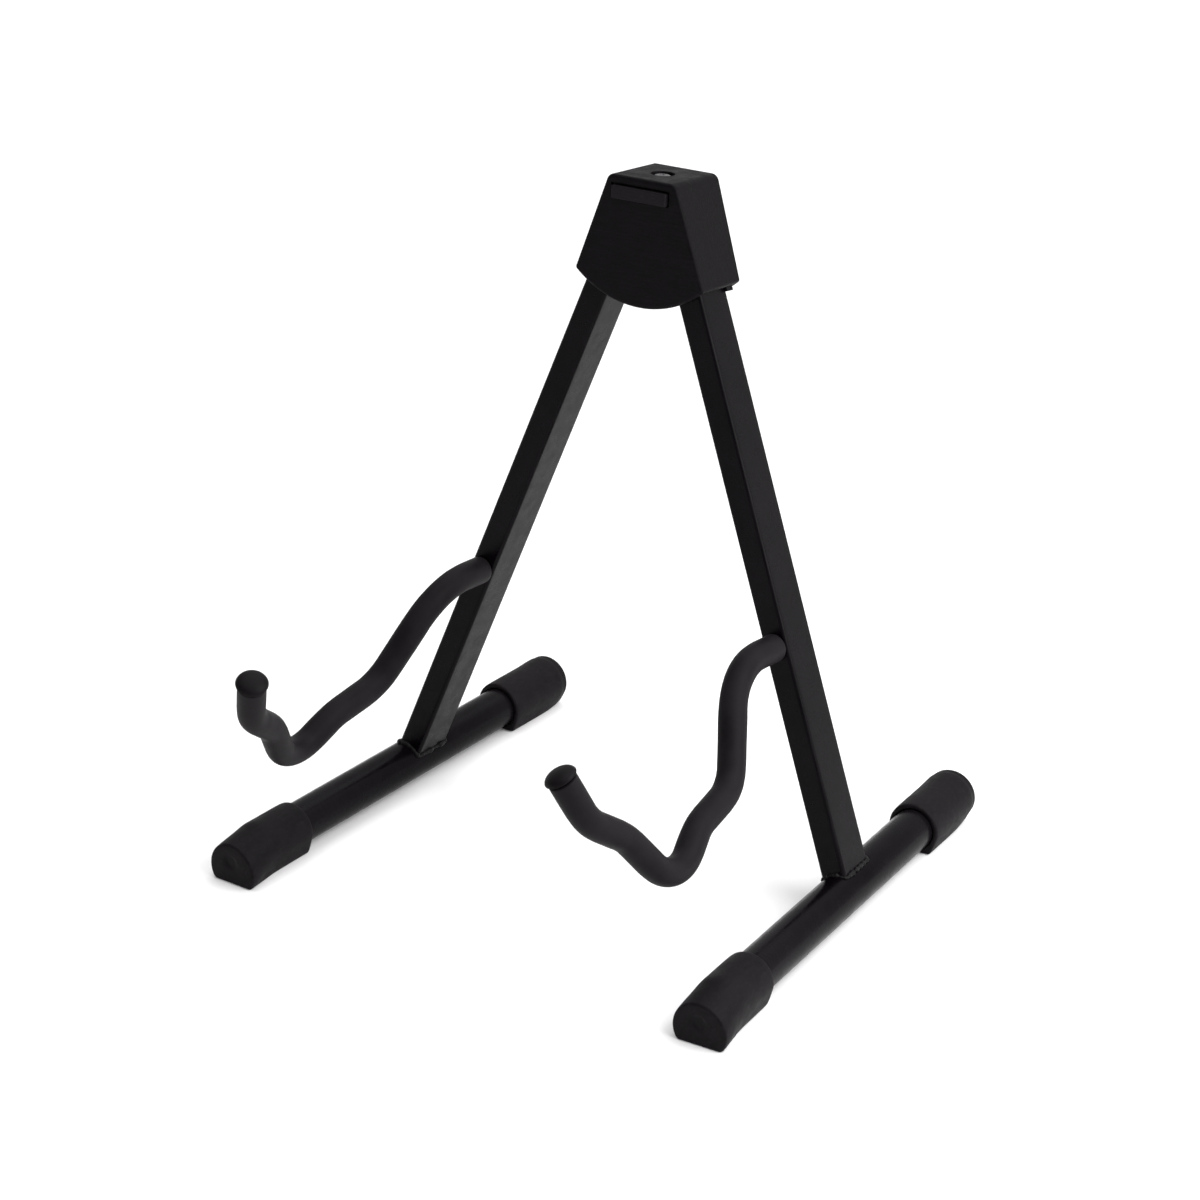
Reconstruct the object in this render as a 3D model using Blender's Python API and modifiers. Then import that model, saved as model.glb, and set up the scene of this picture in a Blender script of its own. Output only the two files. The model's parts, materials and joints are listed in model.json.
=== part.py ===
"""Folding A-frame guitar stand.

Two steel legs hang from a moulded head on rivets and fold together sideways.
Each leg is one weldment: a rectangular tube, a round foot bar with rubber caps,
and a bent cradle rod in a foam sleeve, all lying in one plane.

World: metres, +Z up, the guitar side is -Y, the origin is on the floor under the
middle of the bounding box. The A-frame's own axes are X to the right, Y to the
rear and Z up along the leaning frame. A leg's axes have Z up along its tube.
"""

from math import acos, asin, atan, atan2, cos, hypot, pi, radians, sin, sqrt, tan

import bmesh
import bpy
from mathutils import Matrix, Vector

MM = 0.001
GAP = 0.3 * MM                      # clearance between pieces that touch
CUTTER_PAST = 5.0 * MM              # how far a cutter runs past the face it cuts

# The A-frame
LEAN = radians(5.5)                 # the frame leans back
SPLAY = radians(20.8)               # each leg from the frame's centre line
FOOT_HALF_SPAN = 160.4 * MM         # leg centre line at the floor
PIVOT_HEIGHT = 362.0 * MM           # rivet, up the frame from the floor
PIVOT_HALF_SPAN = FOOT_HALF_SPAN - PIVOT_HEIGHT * tan(SPLAY)
LEG_LENGTH = PIVOT_HEIGHT / cos(SPLAY)      # rivet to floor, along the leg

# Leg tube
TUBE_WIDTH = 16.0 * MM
TUBE_DEPTH = 28.0 * MM
TUBE_WALL = 1.2 * MM
TUBE_CORNER = 2.0 * MM
TUBE_ABOVE_PIVOT = 8.0 * MM
TUBE_END_UP_BAR = 4.0 * MM          # uncut lower end, above the bar's axis

# Foot bar and its caps
BAR_RADIUS = 12.7 * MM
BAR_WALL = 1.5 * MM
BAR_AXIS_HEIGHT = 14.7 * MM
NOSE_FRONT = 174.0 * MM             # from the leg to the end of the front cap
NOSE_REAR = 139.5 * MM
CAP_LENGTH = 56.5 * MM
CAP_WALL = 2.8 * MM
CAP_BORE_DEPTH = 34.0 * MM
CAP_SOLE_CHAMFER = 1.0 * MM
WELD_RADIUS = 1.3 * MM
WELD_SPACING = 4.0 * MM             # between the points of the bead's path

# Cradle arm: corners (up the leg from the floor, forward of the tube's middle,
# bend radius)
ARM_CORNERS = (
    (163.5 * MM, 57.5 * MM, 40.0 * MM),
    (102.7 * MM, 88.0 * MM, 27.0 * MM),
    (93.0 * MM, 125.5 * MM, 30.0 * MM),
    (68.6 * MM, 159.0 * MM, 24.0 * MM),
    (107.0 * MM, 190.0 * MM, 30.0 * MM),
    (124.0 * MM, 217.0 * MM, 25.0 * MM),
)
ARM_TIP = (150.5 * MM, 228.5 * MM)
TOE_IN = radians(1.2)               # the arms turn in towards each other
ARM_SPACING = 6.0 * MM              # between the points of a bend
ROD_RADIUS = 4.0 * MM
ROD_PAST_SLEEVE = 3.0 * MM
SLEEVE_RADIUS = 8.25 * MM
SLEEVE_WALL = 3.7 * MM
PLUG_RADIUS = 9.2 * MM
PLUG_RIM = 2.0 * MM
PLUG_HEIGHT = 6.0 * MM
PLUG_CHAMFER = 0.4 * MM

# Head cover, in the A-frame's axes
HEAD_TOP = 406.6 * MM
HEAD_CORNER = 349.0 * MM            # lower end of the slanted sides
HEAD_TOP_HALF_WIDTH = 22.0 * MM
HEAD_CORNER_HALF_WIDTH = 42.9 * MM
HEAD_FRONT = 20.0 * MM              # front and rear faces, level with those corners
HEAD_REAR = 21.4 * MM
HEAD_FLARE = 0.045                  # how much deeper it grows, each way, per unit of height
HEAD_SAG = 16.5 * MM                # depth of the curved lower edge
HEAD_WALL = 2.6 * MM
HEAD_REAR_WALL = 2.0 * MM
HEAD_ROOF = 5.0 * MM
HEAD_EDGE = 1.6 * MM
STRIP_HALF_LENGTH = 18.0 * MM
STRIP_HEIGHT = 7.4 * MM
STRIP_TOP = 400.8 * MM
STRIP_PROUD = 2.0 * MM
STRIP_OFFSET = 0.6 * MM
STRIP_RECESS = 0.9 * MM
STRIP_CLEARANCE = 1.0 * MM          # at the strip's ends and over it
STRIP_EDGE = 0.5 * MM
SCREW_RECESS_RADIUS = 6.8 * MM
SCREW_RECESS_DEPTH = 2.0 * MM
SCREW_HEAD_RADIUS = 5.2 * MM
SCREW_HEAD_HEIGHT = 1.6 * MM
SCREW_RADIUS = 2.0 * MM
SCREW_LENGTH = 13.0 * MM
SCREW_POINT = 2.0 * MM

# Hinge bracket, rivets and washers
WASHER_THICKNESS = 0.6 * MM
WASHER_RADIUS = 8.0 * MM
PLATE_THICKNESS = 1.8 * MM
PLATE_INNER = TUBE_DEPTH / 2 + 2 * GAP + WASHER_THICKNESS
PLATE_HEM = 11.0 * MM               # lower edge of both plates, below the rivets
RIVET_RADIUS = 3.0 * MM
RIVET_HEAD_RADIUS = 5.5 * MM
RIVET_HEAD_HEIGHT = 2.0 * MM
BUSH_RADIUS = 5.0 * MM
STOP_OFFSET = 8.5 * MM              # inner face of the stop, from the leg's middle
STOP_THICKNESS = 1.8 * MM
STOP_DEPTH = 4.0 * MM               # how far the stop tab reaches forward
STOP_DROP = 23.0 * MM               # lower end of the ears, below the rivet
STOP_START = 3.0 * MM               # upper end of the stop, below the rivet
STOP_INSET = 0.2 * MM               # keeps the stop's faces inside the ear's
EAR_WIDTH = 6.0 * MM
EAR_RISE = 7.0 * MM                 # of the ear's chamfered inner corner
EAR_INNER = 3.0 * MM                # ear's root and hem, each further in by this


# ---------------------------------------------------------------- scene helpers

def clear_scene():
    for item in list(bpy.data.objects):
        bpy.data.objects.remove(item, do_unlink=True)


def new_collection(name):
    collection = bpy.data.collections.new(name)
    bpy.context.scene.collection.children.link(collection)
    return collection


def link(name, data, collection, parent=None):
    item = bpy.data.objects.new(name, data)
    collection.objects.link(item)
    item.parent = parent
    return item


def new_material(name, colour, roughness, metallic=0.0):
    material = bpy.data.materials.new(name)
    material.use_nodes = True
    shader = material.node_tree.nodes["Principled BSDF"]
    shader.inputs["Base Color"].default_value = (*colour, 1.0)
    shader.inputs["Roughness"].default_value = roughness
    shader.inputs["Metallic"].default_value = metallic
    return material


def powder_coated_steel():
    return new_material("powder_coated_steel", (0.012, 0.011, 0.012), 0.42)


def moulded_rubber():
    return new_material("moulded_rubber", (0.022, 0.021, 0.022), 0.62)


def pad_rubber():
    return new_material("pad_rubber", (0.028, 0.027, 0.028), 0.70)


def sleeve_foam():
    return new_material("sleeve_foam", (0.030, 0.028, 0.029), 0.78)


def plug_plastic():
    return new_material("plug_plastic", (0.014, 0.013, 0.014), 0.45)


def zinc_steel():
    return new_material("zinc_steel", (0.45, 0.45, 0.46), 0.35, 1.0)


def bush_nylon():
    return new_material("bush_nylon", (0.60, 0.58, 0.52), 0.50)


# ------------------------------------------------------------- modelling helpers

def finish_mesh(item, material, smooth_angle=radians(35)):
    item.data.materials.clear()
    item.data.materials.append(material)
    if isinstance(item.data, bpy.types.Mesh):
        item.data.shade_smooth()
        item.data.set_sharp_from_angle(angle=smooth_angle)


def mesh_from_bmesh(name, shape):
    bmesh.ops.recalc_face_normals(shape, faces=shape.faces)
    mesh = bpy.data.meshes.new(name)
    shape.to_mesh(mesh)
    shape.free()
    return mesh


def cylinder_mesh(name, radius, start, end, segments, axis="Z", capped=True):
    """A cylinder between two places on a local axis."""
    shape = bmesh.new()
    bmesh.ops.create_cone(
        shape, cap_ends=capped, segments=segments,
        radius1=radius, radius2=radius, depth=end - start)
    bmesh.ops.translate(shape, verts=shape.verts, vec=(0, 0, (start + end) / 2))
    if axis == "Y":
        bmesh.ops.rotate(shape, verts=shape.verts, matrix=Matrix.Rotation(-pi / 2, 3, "X"))
    return mesh_from_bmesh(name, shape)


def box_mesh(name, low, high):
    """A box between two corners."""
    shape = bmesh.new()
    bmesh.ops.create_cube(shape, size=1.0)
    size = [b - a for a, b in zip(low, high)]
    middle = [(a + b) / 2 for a, b in zip(low, high)]
    bmesh.ops.scale(shape, verts=shape.verts, vec=size)
    bmesh.ops.translate(shape, verts=shape.verts, vec=middle)
    return mesh_from_bmesh(name, shape)


def prism_mesh(name, outline, front, rear):
    """A flat outline (x, z) filled and extruded along Y from front to rear."""
    curve = bpy.data.curves.new(name, "CURVE")
    curve.dimensions = "2D"
    curve.fill_mode = "BOTH"
    curve.extrude = (rear - front) / 2
    spline = curve.splines.new("POLY")
    spline.points.add(len(outline) - 1)
    for point, (x, z) in zip(spline.points, outline):
        point.co = (x, z, 0, 1)
    spline.use_cyclic_u = True
    guide = link(name + "_outline", curve, bpy.context.scene.collection)
    flat = bpy.data.meshes.new_from_object(
        guide.evaluated_get(bpy.context.evaluated_depsgraph_get()))
    bpy.data.objects.remove(guide, do_unlink=True)
    shape = bmesh.new()
    shape.from_mesh(flat)
    bmesh.ops.remove_doubles(shape, verts=shape.verts, dist=0.00001)
    bmesh.ops.rotate(shape, verts=shape.verts, matrix=Matrix.Rotation(pi / 2, 3, "X"))
    bmesh.ops.translate(shape, verts=shape.verts, vec=(0, (front + rear) / 2, 0))
    return mesh_from_bmesh(name, shape)


def turned_object(name, profile, segments, collection, parent):
    """A profile (radius, height), listed from the top down, turned about Z."""
    shape = bmesh.new()
    corners = [shape.verts.new((radius, 0, height)) for radius, height in profile]
    for first, second in zip(corners, corners[1:]):
        shape.edges.new((first, second))
    mesh = bpy.data.meshes.new(name)
    shape.to_mesh(mesh)
    shape.free()
    item = link(name, mesh, collection, parent)
    screw = item.modifiers.new("turn", "SCREW")
    screw.steps = segments
    screw.render_steps = segments
    screw.use_merge_vertices = True
    screw.merge_threshold = 0.00001
    screw.use_smooth_shade = True
    weld = item.modifiers.new("close_axis", "WELD")
    weld.merge_threshold = 0.00001
    return item


def cut(item, cutter):
    modifier = item.modifiers.new(cutter.name, "BOOLEAN")
    modifier.operation = "DIFFERENCE"
    modifier.solver = "EXACT"
    modifier.object = cutter


def add_cutter(name, mesh, cutters, parent):
    item = link(name, mesh, cutters, parent)
    item.hide_render = True
    item.display_type = "WIRE"
    return item


def tube_curve(name, points, radius, sides, collection, parent, closed=False, capped=True):
    curve = bpy.data.curves.new(name, "CURVE")
    curve.dimensions = "3D"
    curve.bevel_depth = radius
    curve.bevel_resolution = sides // 2 - 2
    curve.use_fill_caps = capped
    curve.resolution_u = 1
    spline = curve.splines.new("POLY")
    spline.points.add(len(points) - 1)
    for point, place in zip(spline.points, points):
        point.co = (*place, 1)
    spline.use_cyclic_u = closed
    spline.use_smooth = True
    return link(name, curve, collection, parent)


# ---------------------------------------------------------------- frames of axes

def add_axes(name, collection, parent, location, rotation=(0, 0, 0), order="XYZ"):
    item = link(name, None, collection, parent)
    item.empty_display_size = 0.02
    item.location = location
    item.rotation_mode = order
    item.rotation_euler = rotation
    return item


def bar_pitch():
    """Angle of the level foot bar to the square cut of the leaning leg."""
    return atan(tan(LEAN) / cos(SPLAY))


def bar_roll(side):
    """Turn about the bar that brings the caps' soles level."""
    pitch = bar_pitch()
    across = side * sin(SPLAY) * cos(LEAN)
    upward = sin(pitch) * sin(LEAN) + cos(pitch) * cos(SPLAY) * cos(LEAN)
    return atan2(across, upward)


def bar_place():
    """The bar's axis on the leg's axis, in the leg's own coordinates."""
    return BAR_AXIS_HEIGHT / (cos(LEAN) * cos(SPLAY)) - LEG_LENGTH


def leg_point(up, forward):
    """A point of the leg's plane, from its height along the leg above the floor."""
    return Vector((0, -forward, up - LEG_LENGTH))


# -------------------------------------------------------------------------- head

def side_line(height, offset):
    """Half width of a line that runs beside the leg at a distance from its middle."""
    return PIVOT_HALF_SPAN + (PIVOT_HEIGHT - height) * tan(SPLAY) + offset / cos(SPLAY)


def mirrored(right_side):
    """Close a right-hand outline, listed top to bottom, with its mirror image."""
    return right_side + [(-x, z) for x, z in reversed(right_side)]


def head_outline():
    """Front view of the cover: slanted sides and an arched lower edge."""
    corner_x = HEAD_CORNER_HALF_WIDTH
    radius = (corner_x ** 2 + HEAD_SAG ** 2) / (2 * HEAD_SAG)
    centre_z = HEAD_CORNER - HEAD_SAG + radius
    half_angle = asin(corner_x / radius)
    steps = 8
    arc = [(radius * sin(half_angle * (steps - k) / steps),
            centre_z - radius * cos(half_angle * (steps - k) / steps)) for k in range(steps)]
    lowest = (0.0, centre_z - radius)
    right = [(HEAD_TOP_HALF_WIDTH, HEAD_TOP)] + arc
    return right + [lowest] + [(-x, z) for x, z in reversed(right)]


def cover_wall_offset():
    """Distance from the leg's middle to the inside of the cover's slanted wall."""
    outer = (HEAD_CORNER_HALF_WIDTH - side_line(HEAD_CORNER, 0)) * cos(SPLAY)
    return outer - HEAD_WALL


def cavity_outline():
    top = HEAD_TOP - HEAD_ROOF
    low = HEAD_CORNER - 2 * HEAD_SAG
    offset = cover_wall_offset()
    return mirrored([(side_line(top, offset), top), (side_line(low, offset), low)])


def flared(mesh):
    """Lean the front half forwards and the rear half back, as the cover's faces do."""
    for vertex in mesh.vertices:
        spread = HEAD_FLARE * (vertex.co.z - HEAD_CORNER)
        vertex.co.y += spread if vertex.co.y > 0 else -spread
    return mesh


def head_cover(parts, cutters, frame, rubber):
    mesh = flared(prism_mesh("head_cover", head_outline(), -HEAD_FRONT, HEAD_REAR))
    cover = link("head_cover", mesh, parts, frame)
    bevel = cover.modifiers.new("rounded_edges", "BEVEL")
    bevel.width = HEAD_EDGE
    bevel.segments = 3
    bevel.limit_method = "ANGLE"
    bevel.angle_limit = radians(30)
    cavity = prism_mesh(
        "cavity", cavity_outline(), -HEAD_FRONT + HEAD_WALL, HEAD_REAR - HEAD_REAR_WALL)
    cut(cover, add_cutter("cavity", flared(cavity), cutters, frame))
    pocket = strip_box("strip_recess", STRIP_CLEARANCE, CUTTER_PAST)
    cut(cover, add_cutter("strip_recess", pocket, cutters, frame))
    recess = cylinder_mesh(
        "screw_recess", SCREW_RECESS_RADIUS, HEAD_TOP - SCREW_RECESS_DEPTH,
        HEAD_TOP + CUTTER_PAST, 24)
    cut(cover, add_cutter("screw_recess", recess, cutters, frame))
    hole = cylinder_mesh(
        "screw_hole", SCREW_RADIUS + GAP, HEAD_TOP - 2 * HEAD_ROOF, HEAD_TOP, 12)
    cut(cover, add_cutter("screw_hole", hole, cutters, frame))
    finish_mesh(cover, rubber)


def strip_box(name, clearance, proud):
    """The bumper strip's box, or with a clearance the pocket that it lies in."""
    floor = -HEAD_FRONT + STRIP_RECESS - (0 if clearance else GAP)
    low = (-STRIP_HALF_LENGTH - STRIP_OFFSET - clearance, -HEAD_FRONT - proud,
           STRIP_TOP - STRIP_HEIGHT - min(clearance, GAP))
    high = (STRIP_HALF_LENGTH - STRIP_OFFSET + clearance, floor, STRIP_TOP + clearance)
    return flared(box_mesh(name, low, high))


def bumper_strip(parts, frame, rubber):
    strip = link("bumper_strip", strip_box("bumper_strip", 0, STRIP_PROUD), parts, frame)
    bevel = strip.modifiers.new("soft_edges", "BEVEL")
    bevel.width = STRIP_EDGE
    bevel.segments = 2
    finish_mesh(strip, rubber)


def cover_screw(parts, frame, steel):
    seat = HEAD_TOP - SCREW_RECESS_DEPTH + GAP
    head = SCREW_HEAD_HEIGHT
    profile = [
        (0, seat + head),
        (SCREW_HEAD_RADIUS * 0.6, seat + head * 0.92),
        (SCREW_HEAD_RADIUS * 0.9, seat + head * 0.6),
        (SCREW_HEAD_RADIUS, seat + head * 0.2),
        (SCREW_HEAD_RADIUS, seat),
        (SCREW_RADIUS, seat),
        (SCREW_RADIUS, seat - SCREW_LENGTH + SCREW_POINT),
        (SCREW_RADIUS * 0.5, seat - SCREW_LENGTH),
        (0, seat - SCREW_LENGTH),
    ]
    finish_mesh(turned_object("cover_screw", profile, 20, parts, frame), steel)


# ----------------------------------------------------------------- hinge bracket

def ear_corner(offset, drop):
    """A point beside the leg, at an offset from its middle and below the rivet."""
    x = PIVOT_HALF_SPAN + drop * sin(SPLAY) + offset * cos(SPLAY)
    z = PIVOT_HEIGHT - drop * cos(SPLAY) + offset * sin(SPLAY)
    return (x, z)


def bracket_top():
    """Upper face of the bracket's bridge, just under the cover's roof."""
    return HEAD_TOP - HEAD_ROOF - 2 * GAP


def rear_plate_outline():
    """A trapezium whose lower corners drop into an ear behind each leg."""
    outer = STOP_OFFSET + STOP_THICKNESS
    inner = outer - EAR_WIDTH
    top = bracket_top()
    hem = PIVOT_HEIGHT - PLATE_HEM
    right = [
        (side_line(top, outer), top),
        ear_corner(outer, STOP_DROP),
        ear_corner(inner, STOP_DROP),
        ear_corner(inner - EAR_INNER, STOP_DROP - EAR_RISE),
        (side_line(hem, inner - 2 * EAR_INNER), hem),
    ]
    return mirrored(right)


def channel_outline():
    """Side view (y, z) of the saddle; its rear plate runs down past the ears."""
    inner = PLATE_INNER
    outer = PLATE_INNER + PLATE_THICKNESS
    top = bracket_top()
    hem = PIVOT_HEIGHT - PLATE_HEM
    low = PIVOT_HEIGHT - 2 * STOP_DROP
    return [(-outer, hem), (-outer, top), (outer, top), (outer, low),
            (inner, low), (inner, top - PLATE_THICKNESS),
            (-inner, top - PLATE_THICKNESS), (-inner, hem)]


def stop_outline(side):
    """Front view of a stop tab, along the leg's outer side below the rivet."""
    inner = STOP_OFFSET
    outer = STOP_OFFSET + STOP_THICKNESS - STOP_INSET
    drop = STOP_DROP - STOP_INSET
    loop = [ear_corner(inner, STOP_START), ear_corner(outer, STOP_START),
            ear_corner(outer, drop), ear_corner(inner, drop)]
    return [(side * x, z) for x, z in loop]


def combine(item, operation, name, other_mesh, cutters, frame):
    modifier = item.modifiers.new(name, "BOOLEAN")
    modifier.operation = operation
    modifier.solver = "EXACT"
    modifier.object = add_cutter(name, other_mesh, cutters, frame)


def hinge_bracket(parts, cutters, frame, steel):
    """Pressed steel saddle: two plates, the bridge over them, and the stops."""
    outer = PLATE_INNER + PLATE_THICKNESS
    reach = 2 * FOOT_HALF_SPAN
    channel = prism_mesh("hinge_bracket", channel_outline(), -reach, reach)
    channel.transform(Matrix.Rotation(pi / 2, 4, "Z"))
    bracket = link("hinge_bracket", channel, parts, frame)
    blank = prism_mesh("bracket_blank", rear_plate_outline(), -2 * outer, 2 * outer)
    combine(bracket, "INTERSECT", "bracket_blank", blank, cutters, frame)
    for side, word in ((1, "right"), (-1, "left")):
        tab = prism_mesh(
            word + "_stop", stop_outline(side), PLATE_INNER - STOP_DEPTH, outer - 2 * STOP_INSET)
        combine(bracket, "UNION", word + "_stop", tab, cutters, frame)
        hole = cylinder_mesh(
            word + "_rivet_hole", RIVET_RADIUS + GAP, -2 * outer, 2 * outer, 20, axis="Y")
        cutter = add_cutter(word + "_rivet_hole", hole, cutters, frame)
        cutter.location = (side * PIVOT_HALF_SPAN, 0, PIVOT_HEIGHT)
        cut(bracket, cutter)
    top = bracket_top()
    hole = cylinder_mesh(
        "bridge_hole", SCREW_RADIUS + GAP, top - CUTTER_PAST, top + CUTTER_PAST, 12)
    cut(bracket, add_cutter("bridge_hole", hole, cutters, frame))
    finish_mesh(bracket, steel)


def pivot_rivet(word, parts, axes, steel):
    """A low-headed rivet from the rear, its end flush in the front plate."""
    outer = PLATE_INNER + PLATE_THICKNESS
    head_base = outer + GAP
    profile = [
        (0, head_base + RIVET_HEAD_HEIGHT),
        (RIVET_HEAD_RADIUS * 0.55, head_base + RIVET_HEAD_HEIGHT * 0.9),
        (RIVET_HEAD_RADIUS * 0.88, head_base + RIVET_HEAD_HEIGHT * 0.5),
        (RIVET_HEAD_RADIUS, head_base),
        (RIVET_RADIUS, head_base),
        (RIVET_RADIUS, -outer),
        (0, -outer),
    ]
    rivet = turned_object(word + "_pivot_rivet", profile, 20, parts, axes)
    rivet.rotation_euler = (-pi / 2, 0, 0)
    finish_mesh(rivet, steel)


def ring_profile(inner, outer, low, high):
    """Closed section of a ring, listed down its outer side first."""
    return [(inner, high), (outer, high), (outer, low), (inner, low), (inner, high)]


def pivot_washer(name, start, parts, axes, nylon):
    profile = ring_profile(RIVET_RADIUS + GAP, WASHER_RADIUS, start, start + WASHER_THICKNESS)
    washer = turned_object(name, profile, 24, parts, axes)
    washer.rotation_euler = (-pi / 2, 0, 0)
    finish_mesh(washer, nylon)


def pivot_bush(word, parts, leg, nylon):
    profile = ring_profile(RIVET_RADIUS + GAP, BUSH_RADIUS, -TUBE_DEPTH / 2, TUBE_DEPTH / 2)
    bush = turned_object(word + "_pivot_bush", profile, 20, parts, leg)
    bush.rotation_euler = (-pi / 2, 0, 0)
    finish_mesh(bush, nylon)


# --------------------------------------------------------------------------- leg

def tube_sleeve_mesh(name, low, high):
    """The leg tube's outer skin, open at both ends."""
    shape = bmesh.new()
    bmesh.ops.create_cube(shape, size=1.0)
    bmesh.ops.scale(shape, verts=shape.verts, vec=(TUBE_WIDTH, TUBE_DEPTH, high - low))
    bmesh.ops.translate(shape, verts=shape.verts, vec=(0, 0, (low + high) / 2))
    ends = [face for face in shape.faces if abs(face.normal.z) > 0.5]
    bmesh.ops.delete(shape, geom=ends, context="FACES_ONLY")
    corners = [edge for edge in shape.edges if not edge.is_boundary]
    bmesh.ops.bevel(
        shape, geom=corners, offset=TUBE_CORNER, segments=3, profile=0.5, affect="EDGES")
    return mesh_from_bmesh(name, shape)


def bar_axis_matrix():
    """Places a Y-axis cylinder on the foot bar, in the leg's coordinates."""
    return Matrix.Translation((0, 0, bar_place())) @ Matrix.Rotation(bar_pitch(), 4, "X")


def leg_tube(word, parts, cutters, leg, steel):
    low = bar_place() + TUBE_END_UP_BAR
    tube = link(word + "_leg_tube", tube_sleeve_mesh(word + "_leg_tube", low, TUBE_ABOVE_PIVOT),
                parts, leg)
    wall = tube.modifiers.new("tube_wall", "SOLIDIFY")
    wall.thickness = TUBE_WALL
    wall.offset = -1
    wall.use_even_offset = True
    saddle = cylinder_mesh(
        word + "_saddle", BAR_RADIUS + GAP, -TUBE_DEPTH, TUBE_DEPTH, 48, axis="Y")
    saddle.transform(bar_axis_matrix())
    cut(tube, add_cutter(word + "_saddle", saddle, cutters, leg))
    seat = cylinder_mesh(
        word + "_bush_seat", BUSH_RADIUS + GAP, -TUBE_DEPTH, TUBE_DEPTH, 24, axis="Y")
    cut(tube, add_cutter(word + "_bush_seat", seat, cutters, leg))
    finish_mesh(tube, steel)


def weld_path():
    """Centre line of the bead: round the tube, lying on the bar."""
    reach = BAR_RADIUS + GAP + WELD_RADIUS
    side = TUBE_WIDTH / 2 + GAP + WELD_RADIUS
    end = TUBE_DEPTH / 2 + GAP + WELD_RADIUS
    corner = TUBE_CORNER + GAP + WELD_RADIUS
    flat = []
    for index, (sx, sy) in enumerate(((1, 1), (-1, 1), (-1, -1), (1, -1))):
        for step in range(4):
            angle = pi / 2 * (index + step / 3)
            flat.append((sx * (side - corner) + corner * cos(angle),
                         sy * (end - corner) + corner * sin(angle)))
    path = []
    for (x0, y0), (x1, y1) in zip(flat, flat[1:] + flat[:1]):
        pieces = max(1, round(hypot(x1 - x0, y1 - y0) / WELD_SPACING))
        for piece in range(pieces):
            part = piece / pieces
            x = x0 + (x1 - x0) * part
            y = y0 + (y1 - y0) * part
            height = sqrt(reach ** 2 - x ** 2)
            along = (y + height * sin(bar_pitch())) / cos(bar_pitch())
            path.append(bar_axis_matrix() @ Vector((x, along, height)))
    return path


def leg_weld(word, parts, leg, steel):
    bead = tube_curve(word + "_leg_weld", weld_path(), WELD_RADIUS, 8, parts, leg, closed=True)
    finish_mesh(bead, steel)


# -------------------------------------------------------------------- foot and caps

def foot_bar(word, parts, foot, steel):
    front = -(NOSE_FRONT - CAP_LENGTH + CAP_BORE_DEPTH - GAP)
    rear = NOSE_REAR - CAP_LENGTH + CAP_BORE_DEPTH - GAP
    mesh = cylinder_mesh(
        word + "_foot_bar", BAR_RADIUS, front, rear, 32, axis="Y", capped=False)
    bar = link(word + "_foot_bar", mesh, parts, foot)
    wall = bar.modifiers.new("tube_wall", "SOLIDIFY")
    wall.thickness = BAR_WALL
    wall.offset = -1
    finish_mesh(bar, steel)


def cap_section(radius, centre, sole_half_width, lift):
    """D-shaped section (x, z from the floor): an arch on a flat sole."""
    distance = hypot(sole_half_width, centre)
    dip = atan2(centre, sole_half_width) - acos(min(1.0, radius / distance))
    steps = 18
    arch = [(radius * cos(-dip + (pi + 2 * dip) * k / steps),
             centre + radius * sin(-dip + (pi + 2 * dip) * k / steps)) for k in range(steps + 1)]
    chamfer = CAP_SOLE_CHAMFER
    left = [(-sole_half_width, chamfer), (-sole_half_width + chamfer, 0)]
    right = [(sole_half_width - chamfer, 0), (sole_half_width, chamfer)]
    return [(x, z + lift) for x, z in arch + left + right]


def front_cap_stations():
    """(distance from the mouth, arch radius, arch centre, sole half width, lift).

    The front cap ends in a broad toe whose top slopes down.
    """
    body = BAR_RADIUS + CAP_WALL
    axis = BAR_AXIS_HEIGHT
    return (
        (0.0, body - 0.4 * MM, axis, 11.6 * MM, 0),
        (0.8 * MM, body, axis, 12.0 * MM, 0),
        (CAP_LENGTH - 22.0 * MM, body, axis, 12.4 * MM, 0),
        (CAP_LENGTH - 17.5 * MM, body + 0.2 * MM, axis - 1.8 * MM, 13.0 * MM, 0),
        (CAP_LENGTH - 4.5 * MM, 16.8 * MM, axis - 5.2 * MM, 14.2 * MM, 0),
        (CAP_LENGTH - 1.3 * MM, 16.5 * MM, axis - 5.6 * MM, 14.1 * MM, 0),
        (CAP_LENGTH, 15.4 * MM, axis - 6.0 * MM, 13.2 * MM, 0),
    )


def rear_cap_stations():
    """As the front cap's stations, but the end is round and its sole runs out."""
    body = BAR_RADIUS + CAP_WALL
    axis = BAR_AXIS_HEIGHT
    return (
        (0.0, body - 0.4 * MM, axis, 11.6 * MM, 0),
        (0.8 * MM, body, axis, 12.0 * MM, 0),
        (CAP_LENGTH - 22.0 * MM, body, axis, 12.2 * MM, 0),
        (CAP_LENGTH - 15.0 * MM, body, axis + 0.3 * MM, 9.0 * MM, 0),
        (CAP_LENGTH - 5.0 * MM, body, axis, 6.5 * MM, 0.8 * MM),
        (CAP_LENGTH - 1.6 * MM, body - 0.9 * MM, axis - 1.0 * MM, 6.0 * MM, 2.0 * MM),
        (CAP_LENGTH, body - 2.8 * MM, axis - 3.0 * MM, 5.0 * MM, 4.0 * MM),
    )


def cap_mesh(name, direction, stations):
    """Loft through the stations; its mouth is at Y = 0 and its end along direction."""
    shape = bmesh.new()
    rings = []
    for distance, *section in stations:
        rings.append([shape.verts.new((x, direction * distance, z - BAR_AXIS_HEIGHT))
                      for x, z in cap_section(*section)])
    for near, far in zip(rings, rings[1:]):
        for k in range(len(near)):
            following = (k + 1) % len(near)
            shape.faces.new((near[k], near[following], far[following], far[k]))
    shape.faces.new(rings[0])
    shape.faces.new(rings[-1])
    return mesh_from_bmesh(name, shape)


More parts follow.
